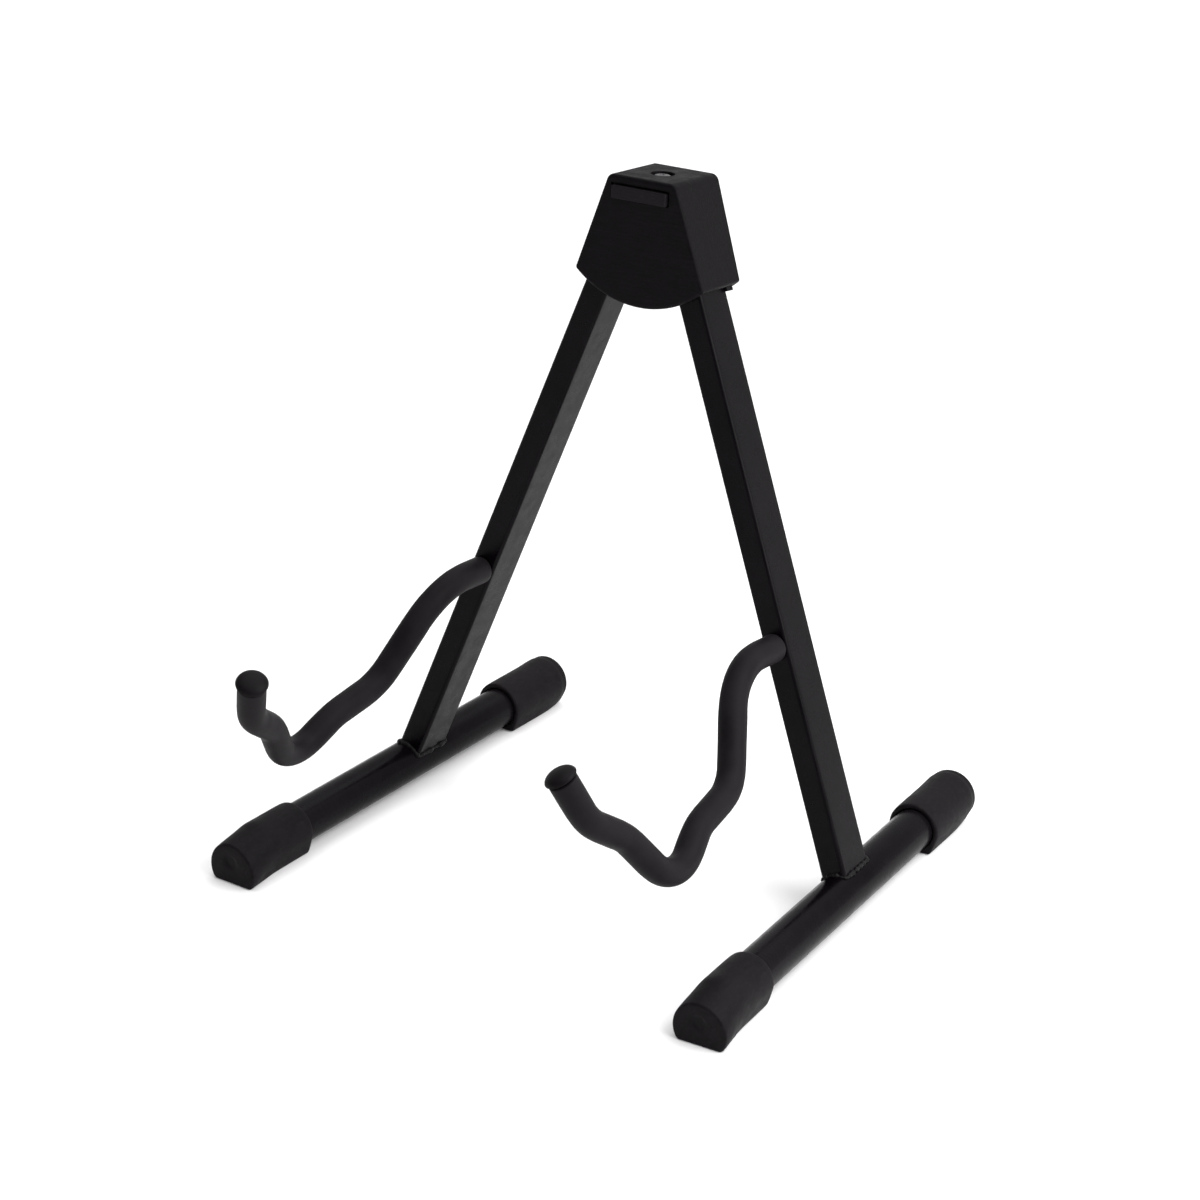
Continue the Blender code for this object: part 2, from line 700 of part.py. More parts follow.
def foot_cap(word, end, parts, cutters, foot, rubber):
    name = f"{word}_foot_cap_{end}"
    direction = -1 if end == "front" else 1
    nose = NOSE_FRONT if end == "front" else NOSE_REAR
    stations = front_cap_stations() if end == "front" else rear_cap_stations()
    cap = link(name, cap_mesh(name, direction, stations), parts, foot)
    cap.location = (0, direction * (nose - CAP_LENGTH), 0)
    reach = sorted((-direction * CUTTER_PAST, direction * CAP_BORE_DEPTH))
    bore = cylinder_mesh(name + "_bore", BAR_RADIUS + GAP, *reach, 32, axis="Y")
    cutter = add_cutter(name + "_bore", bore, cutters, foot)
    cutter.location = cap.location
    cut(cap, cutter)
    finish_mesh(cap, rubber)


# --------------------------------------------------------------------- cradle arm

def filleted(corners, radii, spacing):
    """A path of straight runs joined by arcs, with a point about every spacing."""
    path = [corners[0]]
    for before, corner, after, radius in zip(corners, corners[1:], corners[2:], radii):
        into = (corner - before).normalized()
        away = (after - corner).normalized()
        turn = into.angle(away)
        setback = radius * tan(turn / 2)
        start = corner - into * setback
        centre = start + (away - into * into.dot(away)).normalized() * radius
        pieces = max(2, round(turn * radius / spacing))
        axis = into.cross(away).normalized()
        for k in range(pieces + 1):
            spin = Matrix.Rotation(turn * k / pieces, 3, axis)
            path.append(centre + spin @ (start - centre))
    path.append(corners[-1])
    return path


def arm_corners():
    """Leg-plane corners from the leg tube's front face to the end of the sleeve."""
    root_up = ARM_CORNERS[0][0]
    inner = [leg_point(up, forward) for up, forward, _ in ARM_CORNERS]
    return [leg_point(root_up, TUBE_DEPTH / 2 + GAP)] + inner + [leg_point(*ARM_TIP)]


def arm_path(past_tip=0.0):
    corners = arm_corners()
    heading = (corners[-1] - corners[-2]).normalized()
    corners[-1] = corners[-1] + heading * past_tip
    radii = [radius for _, _, radius in ARM_CORNERS]
    return filleted(corners, radii, ARM_SPACING)


def cradle_rod(word, parts, leg, steel):
    rod = tube_curve(
        word + "_cradle_rod", arm_path(ROD_PAST_SLEEVE), ROD_RADIUS, 8, parts, leg)
    finish_mesh(rod, steel)


def cradle_sleeve(word, parts, leg, foam):
    sleeve = tube_curve(
        word + "_cradle_sleeve", arm_path(), SLEEVE_RADIUS, 14, parts, leg, capped=False)
    wall = sleeve.modifiers.new("sleeve_wall", "SOLIDIFY")
    wall.thickness = SLEEVE_WALL
    wall.offset = -1
    finish_mesh(sleeve, foam)


def end_plug(word, parts, leg, plastic):
    """A mushroom cap with a blind bore over the rod's end."""
    bore = ROD_RADIUS + GAP
    depth = ROD_PAST_SLEEVE + GAP
    dome_steps = 4
    dome = []
    for k in range(dome_steps + 1):
        angle = pi / 2 * k / dome_steps
        dome.append((PLUG_RADIUS * sin(angle), PLUG_RIM + (PLUG_HEIGHT - PLUG_RIM) * cos(angle)))
    profile = dome + [(PLUG_RADIUS, PLUG_CHAMFER), (PLUG_RADIUS - PLUG_CHAMFER, 0),
                      (bore, 0), (bore, depth), (0, depth)]
    profile[0] = (0, PLUG_HEIGHT)
    plug = turned_object(word + "_end_plug", profile, 24, parts, leg)
    corners = arm_corners()
    heading = (corners[-1] - corners[-2]).normalized()
    plug.location = corners[-1] + heading * GAP
    plug.rotation_mode = "QUATERNION"
    plug.rotation_quaternion = heading.to_track_quat("Z", "Y")
    finish_mesh(plug, plastic)


# ---------------------------------------------------------------------- assembly

def build_head(parts, cutters, frame, materials):
    head_cover(parts, cutters, frame, materials["rubber"])
    bumper_strip(parts, frame, materials["pad"])
    cover_screw(parts, frame, materials["steel"])
    hinge_bracket(parts, cutters, frame, materials["steel"])
    for side, word in ((1, "right"), (-1, "left")):
        axes = add_axes(word + "_pivot", parts, frame, (side * PIVOT_HALF_SPAN, 0, PIVOT_HEIGHT))
        pivot_rivet(word, parts, axes, materials["zinc"])
        seat = TUBE_DEPTH / 2 + GAP
        pivot_washer(word + "_washer_rear", seat, parts, axes, materials["nylon"])
        pivot_washer(
            word + "_washer_front", -seat - WASHER_THICKNESS, parts, axes, materials["nylon"])


def build_leg(side, word, parts, cutters, frame, materials):
    leg = add_axes(word + "_leg", parts, frame, (side * PIVOT_HALF_SPAN, 0, PIVOT_HEIGHT),
                   (0, -side * SPLAY, 0))
    foot = add_axes(word + "_foot", parts, leg, (0, 0, bar_place()),
                    (bar_pitch(), bar_roll(side), 0), order="YXZ")
    leg_tube(word, parts, cutters, leg, materials["steel"])
    pivot_bush(word, parts, leg, materials["nylon"])
    leg_weld(word, parts, leg, materials["steel"])
    foot_bar(word, parts, foot, materials["steel"])
    for end in ("front", "rear"):
        foot_cap(word, end, parts, cutters, foot, materials["rubber"])
    arm = add_axes(word + "_arm", parts, leg, (0, 0, 0), (0, 0, -side * TOE_IN))
    cradle_rod(word, parts, arm, materials["steel"])
    cradle_sleeve(word, parts, arm, materials["foam"])
    end_plug(word, parts, arm, materials["plastic"])


def centre_on_origin(parts, frame):
    """Slide the stand along Y until its bounding box is centred on the origin."""
    bpy.context.view_layer.update()
    graph = bpy.context.evaluated_depsgraph_get()
    places = []
    for item in parts.objects:
        if item.type != "EMPTY":
            solid = item.evaluated_get(graph)
            mesh = solid.to_mesh()
            places += [(solid.matrix_world @ vertex.co).y for vertex in mesh.vertices]
            solid.to_mesh_clear()
    frame.location.y -= (min(places) + max(places)) / 2


def main():
    clear_scene()
    parts = new_collection("guitar_stand")
    cutters = new_collection("cutters")
    materials = {
        "steel": powder_coated_steel(),
        "rubber": moulded_rubber(),
        "pad": pad_rubber(),
        "foam": sleeve_foam(),
        "plastic": plug_plastic(),
        "zinc": zinc_steel(),
        "nylon": bush_nylon(),
    }
    frame = add_axes("a_frame", parts, None, (0, 0, 0), (-LEAN, 0, 0))
    build_head(parts, cutters, frame, materials)
    for side, word in ((1, "right"), (-1, "left")):
        build_leg(side, word, parts, cutters, frame, materials)
    centre_on_origin(parts, frame)


main()
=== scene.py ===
import json
from math import acos, atan2, cos, hypot, pi, radians, sin, sqrt

import bmesh
import bpy
from mathutils import Matrix, Vector, noise


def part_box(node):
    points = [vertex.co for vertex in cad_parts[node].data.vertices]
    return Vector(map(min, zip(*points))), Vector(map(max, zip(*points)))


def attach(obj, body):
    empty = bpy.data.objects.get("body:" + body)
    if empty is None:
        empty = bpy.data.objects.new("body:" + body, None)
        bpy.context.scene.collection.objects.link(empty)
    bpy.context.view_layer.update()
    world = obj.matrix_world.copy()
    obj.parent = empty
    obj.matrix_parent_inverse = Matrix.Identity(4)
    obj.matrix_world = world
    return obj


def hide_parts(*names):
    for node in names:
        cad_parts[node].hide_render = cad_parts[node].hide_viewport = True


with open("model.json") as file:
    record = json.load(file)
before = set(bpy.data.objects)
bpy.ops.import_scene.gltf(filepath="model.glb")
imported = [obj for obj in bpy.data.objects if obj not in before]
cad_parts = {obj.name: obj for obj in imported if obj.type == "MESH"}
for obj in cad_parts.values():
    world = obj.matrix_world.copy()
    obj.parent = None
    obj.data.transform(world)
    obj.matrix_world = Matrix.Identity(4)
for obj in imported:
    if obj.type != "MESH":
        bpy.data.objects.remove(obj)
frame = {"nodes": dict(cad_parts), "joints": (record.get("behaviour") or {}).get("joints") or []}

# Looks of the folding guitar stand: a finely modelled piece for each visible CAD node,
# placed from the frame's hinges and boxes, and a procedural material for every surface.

MM = 0.001
SLIVER = 0.002 * MM
SIDES = (("right", 1), ("left", -1))
SEED_STEP = Vector((7.31, 3.17, 5.53))  # moves the noise on from one piece to the next

# Camera
CAMERA_PLACE = Vector((0.8974, -1.3358, 0.8782))
CAMERA_AZIMUTH = radians(33.57)
CAMERA_ELEVATION = radians(23.66)
CAMERA_LENS = 92.4                  # mm, on a 36 mm sensor

# Studio
FLOOR_RADIUS = 40.0
FLOOR_ALBEDO = 0.93
BRIGHT_SIDE = (0.45, 0.80, 0.25)    # towards the bright walls
WORLD_FADE = 0.75                   # the walls fade over this cosine each way
WORLD_DIM = 0.25
WORLD_BRIGHT = 0.98
WORLD_TINT = (1.0, 0.985, 1.0, 1.0)
CEILING_PLACE = (0.15, 0.10, 1.0)
CEILING_SPREAD = radians(80)
CEILING_LIGHT = 1.9                 # W/m2
SOFTBOX_PLACE = (0.80, 0.06, 0.60)
SOFTBOX_AIM = (0.1, 0.0, 0.1)
SOFTBOX_SIZE = 0.8
SOFTBOX_LIGHT = 8.0                 # W

SMALLEST_CORNER = 0.3 * MM          # left where an edge is rounded over a corner
SHARP_ANGLE = radians(40)           # steeper edges are shaded as sharp
BRACKET_BEVEL = 0.35 * MM           # on the edges of the saddle under the cover

# Leg tube and foot bar
TUBE_WIDTH = 16.0 * MM
TUBE_DEPTH = 28.0 * MM
TUBE_WALL = 1.2 * MM
TUBE_CORNER = 2.2 * MM
BAR_WALL = 1.5 * MM
BUSH_HOLE = 5.3 * MM
PIVOT_BAND = 12.0 * MM              # the hole's faces reach this far below it
TUBE_LEVELS = (-0.3, -0.2, -0.1, -2 * PIVOT_BAND, -PIVOT_BAND)  # rings, from the rivet
COPE_BAND = 3.0 * MM                # height of the first ring over the coped end
COPE_DEPTH = 0.2 * MM               # the coped end goes this far into the bar
BAR_LEVEL = 20.0 * MM               # rings on the bar, each side of the leg
BEAD_RADIUS = 1.5 * MM
BEAD_OFFSET = 0.1 * BEAD_RADIUS     # from the tube and the bar to its middle
BEAD_RIPPLE = 2.1 * MM              # length of one ripple of the weld
BEAD_LUMPS = 330.0                  # lumps of the weld per metre

# Cradle arm: (up the leg from the floor, forward of the tube's middle, bend radius)
ARM_CORNERS = (
    (163.5 * MM, 57.5 * MM, 40.0 * MM),
    (102.7 * MM, 88.0 * MM, 27.0 * MM),
    (93.0 * MM, 125.5 * MM, 30.0 * MM),
    (68.6 * MM, 159.0 * MM, 24.0 * MM),
    (107.0 * MM, 190.0 * MM, 30.0 * MM),
    (124.0 * MM, 217.0 * MM, 25.0 * MM),
)
ARM_TIP = (150.5 * MM, 228.5 * MM)
TOE_IN = radians(1.2)               # the arms turn in towards each other
ARM_STEP = 1.6 * MM                 # between the rings of the sleeve
SLEEVE_RADIUS = 8.2 * MM
SLEEVE_BORE = 4.3 * MM
SLEEVE_EDGE = 0.6 * MM
SLEEVE_START = 1.1 * MM             # from the leg tube's face
SLEEVE_SWELL = 0.12 * MM            # slow thickening and thinning of the foam
SLEEVE_LUMPS = 55.0                 # of them per metre
SLEEVE_FLATTENING = 0.25 * MM       # on the outer side of a tight bend
CREASE_DEPTH = 0.05 * MM            # inside a tight bend
CREASE_PITCH = 4.2 * MM
TIGHT_BEND = 0.035                  # radius in metres at which a bend is tight
PLUG_RADIUS = 9.2 * MM
PLUG_HEIGHT = 6.0 * MM
PLUG_RIM = 0.8 * MM
PLUG_GAP = 1.5 * MM                 # under the plug's rim
PLUG_NECK = 5.6 * MM
PLUG_NECK_ROUND = 0.3 * MM
PLUG_SHADE_RING = 7.7 * MM              # thin ring of the plug's dark plastic over the foam's end: a dark sheet standing in for the shade under the rim
PLUG_SHADE_RING_EDGE = 0.20 * MM
PLUG_SHADE_RING_HEIGHT = 0.35 * MM
PLUG_DOME = 1.15                    # above 1 the dome is more pointed than round
PLUG_BORE = 3.3 * MM
PLUG_SEAT = 0.1 * MM                # between the plug and the foam's end

# Foot caps
CAP_LENGTH = 56.5 * MM
REAR_CAP_SWELL = 0.7 * MM           # the rear caps are a little fuller
CAP_WALL = 2.8 * MM
CAP_BORE_DEPTH = 34.0 * MM
CAP_BORE_GAP = 0.35 * MM            # round the bar
CAP_EDGE = 1.5 * MM                 # rounding of the mouth and of the toe's face
CAP_END_ROUND = 3.6 * MM            # rounding of the rear cap's end
CAP_SOLE_CORNER = 1.4 * MM
CAP_FACE_CROWN = 0.25 * MM          # bulge of the end face
CAP_STEPS = 44
DIMPLE_RADIUS = 4.2 * MM            # in the middle of the end face
DIMPLE_DEPTH = 0.3 * MM
DIMPLE_EDGE = 0.4 * MM

# Head cover, in the A-frame's axes, heights from the floor along the frame
HEAD_TOP = 406.6 * MM
HEAD_CORNER = 349.0 * MM
HEAD_TOP_HALF_WIDTH = 22.0 * MM
HEAD_CORNER_HALF_WIDTH = 42.9 * MM
HEAD_FRONT = 20.0 * MM              # front and rear faces, level with the corners
HEAD_REAR = 21.4 * MM
HEAD_FLARE = 0.045                  # deeper each way, per unit of height
HEAD_SAG = 16.5 * MM                # of the arched lower edge, below the corners
HEAD_WALL = 2.6 * MM
HEAD_REAR_WALL = 2.0 * MM
HEAD_ROOF = 5.0 * MM
HEAD_EDGE = 1.9 * MM
HEAD_FACE_MARGIN = 0.6 * MM         # flat band inside the rounded edge
HEAD_ROUND = 5.0 * MM
HEAD_INNER_ROUND = 2.0 * MM
HEAD_LOW_ROUND = 1.8 * MM
STRIP_HALF_LENGTH = 18.0 * MM
STRIP_HEIGHT = 7.4 * MM
STRIP_TOP = 400.8 * MM
STRIP_PROUD = 2.0 * MM
STRIP_OFFSET = 0.6 * MM             # off centre, to the left
STRIP_EDGE = 0.7 * MM
STRIP_CLEARANCE = 1.3 * MM          # at the strip's ends and over it
STRIP_LOW_CLEARANCE = 0.3 * MM
STRIP_POCKET = 1.7 * MM
POCKET_CORNER = 0.6 * MM
RECESS_RADIUS = 6.8 * MM
RECESS_DEPTH = 2.7 * MM
SCREW_HOLE = 2.3 * MM
SCREW_RADIUS = 5.2 * MM
SCREW_HEIGHT = 2.2 * MM
SCREW_RIM = 0.45 * SCREW_HEIGHT     # straight side below the head's crown
SCREW_SEAT = 0.05 * MM              # between the head and the recess
SHANK_RADIUS = 2.0 * MM
SHANK_LENGTH = 13.0 * MM
SHANK_POINT = 2.0 * MM
SLOT_LENGTH = 5.2 * MM
SLOT_BOTTOM = 2.4 * MM              # length of the slot's floor
SLOT_WIDTH = 0.9 * MM
SLOT_DEPTH = 1.3 * MM


# ---------------------------------------------------- frames of axes

def hinge(name):
    return next(joint for joint in frame["joints"] if joint["name"] == name)


def axes_matrix(x_axis, y_axis, z_axis, origin):
    rows = [(x_axis[k], y_axis[k], z_axis[k], origin[k]) for k in range(3)]
    return Matrix((*rows, (0, 0, 0, 1)))


SPLAY = radians(max(hinge("right_leg_fold")["range_deg"]))
REAR = Vector(hinge("right_leg_fold")["axis"]).normalized()
ACROSS = Vector((1, 0, 0))
UP = ACROSS.cross(REAR)


def pivot(word):
    return Vector(hinge(word + "_leg_fold")["pos_m"])


def head_frame():
    """The A-frame's axes, from the point where its centre line meets the floor."""
    middle = (pivot("right") + pivot("left")) / 2
    return axes_matrix(ACROSS, REAR, UP, middle - UP * (middle.z / UP.z))


def leg_frame(word, side):
    """Origin on the rivet, Z up along the leg, Y to the rear."""
    along = UP * cos(SPLAY) - ACROSS * side * sin(SPLAY)
    return axes_matrix(REAR.cross(along), REAR, along, pivot(word))


def arm_frame(word, side):
    """The leg's axes, turned in with its cradle arm."""
    return leg_frame(word, side) @ Matrix.Rotation(-side * TOE_IN, 4, "Z")


def leg_length(word, side):
    """From the rivet to the floor, along the leg."""
    return pivot(word).z / leg_frame(word, side).col[2].z


def bar_height(word):
    low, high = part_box(word + "_foot_bar")
    return (low.z + high.z) / 2


def bar_radius(word):
    low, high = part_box(word + "_foot_bar")
    return (high.z - low.z) / 2


def foot_frame(word, side):
    """Origin where the leg's middle meets the bar's, Y to the rear along the bar."""
    leg = leg_frame(word, side)
    leg_up = leg.col[2].xyz
    drop = (pivot(word).z - bar_height(word)) / leg_up.z
    along = (REAR - leg_up * (REAR.z / leg_up.z)).normalized()
    upward = Vector((0, 0, 1))
    return axes_matrix(along.cross(upward), along, upward, pivot(word) - leg_up * drop)


# ------------------------------------------------------ mesh helpers

def new_piece(name, mesh, matrix, material):
    mesh.materials.append(material)
    mesh.shade_smooth()
    mesh.set_sharp_from_angle(angle=SHARP_ANGLE)
    piece = bpy.data.objects.new(name, mesh)
    bpy.context.scene.collection.objects.link(piece)
    piece.matrix_world = matrix
    return piece


def stand_for(piece, node, body):
    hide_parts(node)
    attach(piece, body)


def mesh_from_bmesh(name, shape):
    bmesh.ops.recalc_face_normals(shape, faces=shape.faces)
    mesh = bpy.data.meshes.new(name)
    shape.to_mesh(mesh)
    shape.free()
    return mesh


def rings_mesh(name, rings, closed=False, flat_ends=False, start_centre=None,
               end_centre=None):
    """Quads from ring to ring; the ends join each other, are flat or close on a point."""
    shape = bmesh.new()
    loops = [[shape.verts.new(point) for point in ring] for ring in rings]
    count = len(loops[0])
    following = loops[1:] + (loops[:1] if closed else [])
    for near, far in zip(loops, following):
        for k in range(count):
            shape.faces.new((near[k], near[(k + 1) % count], far[(k + 1) % count], far[k]))
    for centre, loop in ((start_centre, loops[0]), (end_centre, loops[-1])):
        if centre is not None:
            middle = shape.verts.new(centre)
            for k in range(count):
                shape.faces.new((loop[k], loop[(k + 1) % count], middle))
        elif flat_ends:
            shape.faces.new(loop)
    return mesh_from_bmesh(name, shape)


def turned_mesh(name, profile, sides):
    """A profile of (radius, height) from one point on the axis to another."""
    rings = [[(radius * cos(2 * pi * k / sides), radius * sin(2 * pi * k / sides), height)
              for k in range(sides)] for radius, height in profile[1:-1]]
    return rings_mesh(name, rings, start_centre=(0, 0, profile[0][1]),
                      end_centre=(0, 0, profile[-1][1]))


def prism_mesh(name, outline, front, rear):
    """An outline (x, z) between two depths along Y."""
    shape = bmesh.new()
    near = [shape.verts.new((x, front, z)) for x, z in outline]
    far = [shape.verts.new((x, rear, z)) for x, z in outline]
    count = len(outline)
    for k in range(count):
        following = (k + 1) % count
        shape.faces.new((near[k], near[following], far[following], far[k]))
    shape.faces.new(near)
    shape.faces.new(far)
    return mesh_from_bmesh(name, shape)


def arc(centre, radius, start, end, steps):
    return [(centre[0] + radius * cos(start + (end - start) * k / steps),
             centre[1] + radius * sin(start + (end - start) * k / steps))
            for k in range(steps + 1)]


def rounded_rectangle(half_x, half_y, radius, steps, straight):
    """Corner arcs, with each straight side cut into a number of lengths."""
    corners = ((1, 1, 0), (-1, 1, pi / 2), (-1, -1, pi), (1, -1, 3 * pi / 2))
    outline = []
    for sx, sy, start in corners:
        centre = (sx * (half_x - radius), sy * (half_y - radius))
        outline += arc(centre, radius, start, start + pi / 2, steps)
    dense = []
    for (x0, y0), (x1, y1) in zip(outline, outline[1:] + outline[:1]):
        pieces = straight if hypot(x1 - x0, y1 - y0) > radius else 1
        dense += [(x0 + (x1 - x0) * k / pieces, y0 + (y1 - y0) * k / pieces)
                  for k in range(pieces)]
    return dense


def rounded_outline(corners, radii, steps):
    """A closed outline whose corners are rounded, each by its own radius."""
    outline = []
    for k, (corner, radius) in enumerate(zip(corners, radii)):
        here = Vector(corner)
        to_last = (Vector(corners[k - 1]) - here).normalized()
        to_next = (Vector(corners[(k + 1) % len(corners)]) - here).normalized()
        half = acos(max(-1.0, min(1.0, to_last.dot(to_next)))) / 2
        if radius == 0:
            outline.append(tuple(here))
            continue
        centre = here + (to_last + to_next).normalized() * (radius / sin(half))
        first = here + to_last * (radius * cos(half) / sin(half)) - centre
        last = here + to_next * (radius * cos(half) / sin(half)) - centre
        turn = atan2(first.x * last.y - first.y * last.x, first.dot(last))
        start = atan2(first.y, first.x)
        outline += arc(centre, radius, start, start + turn, steps)
    return outline


def inset(outline, distance):
    """The outline moved inwards by a distance, for an outline listed clockwise."""
    moved = []
    for k, point in enumerate(outline):
        before = Vector(point) - Vector(outline[k - 1])
        after = Vector(outline[(k + 1) % len(outline)]) - Vector(point)
        along = before.normalized() + after.normalized()
        inward = Vector((along.y, -along.x)).normalized()
        stretch = inward.dot(Vector((after.y, -after.x)).normalized())
        moved.append(tuple(Vector(point) + inward * (distance / stretch)))
    return moved


def drawn_in(corners, radii, distance, steps):
    """The rounded outline moved inwards, its corner radii shrinking with it."""
    left = [max(SMALLEST_CORNER, radius - distance) if radius else 0 for radius in radii]
    return rounded_outline(inset(corners, distance), left, steps)


def carve(piece, mesh, matrix):
    """Cut another mesh out of a piece, at once."""
    tool = bpy.data.objects.new("tool", mesh)
    bpy.context.scene.collection.objects.link(tool)
    tool.matrix_world = matrix
    modifier = piece.modifiers.new("carved", "BOOLEAN")
    modifier.operation = "DIFFERENCE"
    modifier.solver = "EXACT"
    modifier.object = tool
    bpy.context.view_layer.update()
    graph = bpy.context.evaluated_depsgraph_get()
    made = bpy.data.meshes.new_from_object(piece.evaluated_get(graph))
    piece.modifiers.clear()
    piece.data = made
    bpy.data.objects.remove(tool, do_unlink=True)


def weighted_normals(piece):
    """Close the slivers left by cuts, and keep flat faces flat beside rounded edges."""
    shape = bmesh.new()
    shape.from_mesh(piece.data)
    bmesh.ops.remove_doubles(shape, verts=shape.verts, dist=SLIVER)
    bmesh.ops.dissolve_degenerate(shape, edges=shape.edges, dist=SLIVER)
    shape.to_mesh(piece.data)
    shape.free()
    piece.data.shade_smooth()
    piece.data.set_sharp_from_angle(angle=SHARP_ANGLE)
    modifier = piece.modifiers.new("weighted_normals", "WEIGHTED_NORMAL")
    modifier.keep_sharp = True


# --------------------------------------------------------- materials

class Surface:
    """A Principled material with procedural colour, roughness and relief."""

    def __init__(self, name, specular, metallic=0.0, sheen=0.0):
        self.material = bpy.data.materials.new(name)
        self.material.use_nodes = True
        self.tree = self.material.node_tree
        self.shader = self.tree.nodes["Principled BSDF"]
        self.shader.inputs["Specular IOR Level"].default_value = specular
        self.shader.inputs["Metallic"].default_value = metallic
        self.shader.inputs["Sheen Weight"].default_value = sheen
        self.shader.inputs["Sheen Roughness"].default_value = 0.4
        self.place = self.tree.nodes.new("ShaderNodeTexCoord").outputs["Object"]
        self.relief = None

    def link(self, output, target):
        self.tree.links.new(output, target)

    def stretched(self, scale):
        node = self.tree.nodes.new("ShaderNodeMapping")
        node.inputs["Scale"].default_value = scale
        self.link(self.place, node.inputs["Vector"])
        return node.outputs["Vector"]

    def noise(self, scale, detail=3.0, roughness=0.55, place=None):
        node = self.tree.nodes.new("ShaderNodeTexNoise")
        node.inputs["Scale"].default_value = scale
        node.inputs["Detail"].default_value = detail
        node.inputs["Roughness"].default_value = roughness
        self.link(place or self.place, node.inputs["Vector"])
        return node.outputs["Fac"]

    def cells(self, scale):
        node = self.tree.nodes.new("ShaderNodeTexVoronoi")
        node.inputs["Scale"].default_value = scale
        self.link(self.place, node.inputs["Vector"])
        return node.outputs["Distance"]

    def remap(self, value, low, high, new_low, new_high):
        node = self.tree.nodes.new("ShaderNodeMapRange")
        for name, number in (("From Min", low), ("From Max", high),
                             ("To Min", new_low), ("To Max", new_high)):
            node.inputs[name].default_value = number
        self.link(value, node.inputs["Value"])
        return node.outputs["Result"]

    def mix(self, factor, first, second):
        """Colour between two colours or colour outputs."""
        node = self.tree.nodes.new("ShaderNodeMix")
        node.data_type = "RGBA"
        self.link(factor, node.inputs[0])
        for socket, colour in ((node.inputs[6], first), (node.inputs[7], second)):
            if isinstance(colour, tuple):
                socket.default_value = (*colour, 1.0)
            else:
                self.link(colour, socket)
        return node.outputs[2]

    def clouded(self, cloud, dark, light, low=0.3, high=0.7):
        """Colour that goes from dark to light with the clouding."""
        return self.mix(self.remap(cloud, low, high, 0.0, 1.0), dark, light)

    def colour(self, output):
        self.link(output, self.shader.inputs["Base Color"])

    def roughness(self, cloud, smooth, rough):
        """Roughness that goes from smooth to rough with the clouding."""
        self.link(self.remap(cloud, 0.3, 0.7, smooth, rough), self.shader.inputs["Roughness"])

    def bump(self, height, distance, strength):
        node = self.tree.nodes.new("ShaderNodeBump")
        node.inputs["Distance"].default_value = distance
        node.inputs["Strength"].default_value = strength
        self.link(height, node.inputs["Height"])
        if self.relief is not None:
            self.link(self.relief, node.inputs["Normal"])
        self.relief = node.outputs["Normal"]
        self.link(self.relief, self.shader.inputs["Normal"])

    def painted_edge_highlight(self, low, high):
        """1 on sharp convex edges, 0 on flat faces: the mask of a painted edge highlight."""
        node = self.tree.nodes.new("ShaderNodeNewGeometry")
        return self.remap(node.outputs["Pointiness"], low, high, 0.0, 1.0)


def powder_coat(name, gloss, specular):
    """Satin black powder coat: orange peel, clouding, and sharp edges lightened to grey as a painted
    highlight.
    """
    surface = Surface(name, specular)
    tint = surface.clouded(surface.noise(38.0, detail=5.0),
                           (0.0009, 0.0005, 0.0010), (0.0024, 0.0016, 0.0024))
    # painted highlight: the sharp edges are lightened to grey
    tint = surface.mix(surface.painted_edge_highlight(0.53, 0.62), tint, (0.0075, 0.0066, 0.0078))
    surface.colour(tint)
    surface.roughness(surface.noise(110.0, detail=4.0), gloss - 0.06, gloss + 0.12)
    surface.bump(surface.noise(1300.0, detail=2.0), 0.04 * MM, 0.45)
    surface.bump(surface.noise(330.0, detail=1.0), 0.05 * MM, 0.30)
    return surface.material


def weld_metal():
    """Weld bead under the coat, lumpy and clouded."""
    surface = Surface("weld_bead", specular=0.09)
    cloud = surface.noise(420.0, detail=4.0)
    surface.colour(surface.clouded(cloud, (0.0018, 0.0016, 0.0019), (0.0070, 0.0064, 0.0070),
                                   low=0.35, high=0.65))
    surface.roughness(cloud, 0.26, 0.46)
    surface.bump(surface.noise(900.0, detail=3.0), 0.25 * MM, 0.7)
    return surface.material


def moulded_rubber(name, dark, light, along, specular):
    """Matte moulded rubber with a drawn-out grain, mottling, dusty streaks along the grain, and
    sharp edges lightened as a painted highlight.
    """
    surface = Surface(name, specular)
    grain = surface.noise(1.0, detail=4.0, place=surface.stretched(along))
    mottle = surface.noise(120.0, detail=5.0, roughness=0.65)
    tint = surface.clouded(mottle, dark, light, low=0.32, high=0.68)
    # lighter tone: dust along the grain, and a painted highlight on the sharp edges
    dust_and_highlight = tuple(1.4 * channel for channel in light)
    tint = surface.mix(surface.remap(grain, 0.52, 0.78, 0.0, 0.7), tint, dust_and_highlight)
    # painted highlight: the sharp edges are lightened to the dusty tone
    tint = surface.mix(surface.painted_edge_highlight(0.56, 0.72), tint, dust_and_highlight)
    surface.colour(tint)
    surface.roughness(mottle, 0.46, 0.66)
    surface.bump(grain, 0.22 * MM, 0.7)
    surface.bump(surface.noise(1500.0, detail=2.0), 0.06 * MM, 0.6)
    surface.bump(surface.noise(160.0, detail=3.0), 0.14 * MM, 0.4)
    return surface.material


def foam_rubber():
    """Skinned foam rubber tubing: closed cells, soft mottling and a faint bloom."""
    surface = Surface("foam_rubber", specular=0.072, sheen=0.01)
    mottle = surface.noise(52.0, detail=6.0, roughness=0.62)
    tint = surface.clouded(mottle, (0.0038, 0.0029, 0.0038), (0.0088, 0.0073, 0.0088))
    pores = surface.remap(surface.cells(1500.0), 0.0, 0.30, 1.0, 0.0)
    tint = surface.mix(pores, tint, (0.0050, 0.0042, 0.0050))
    surface.colour(tint)
    surface.roughness(mottle, 0.48, 0.64)
    surface.bump(surface.cells(1500.0), 0.05 * MM, 0.5)
    surface.bump(surface.noise(420.0, detail=3.0), 0.08 * MM, 0.45)
    return surface.material


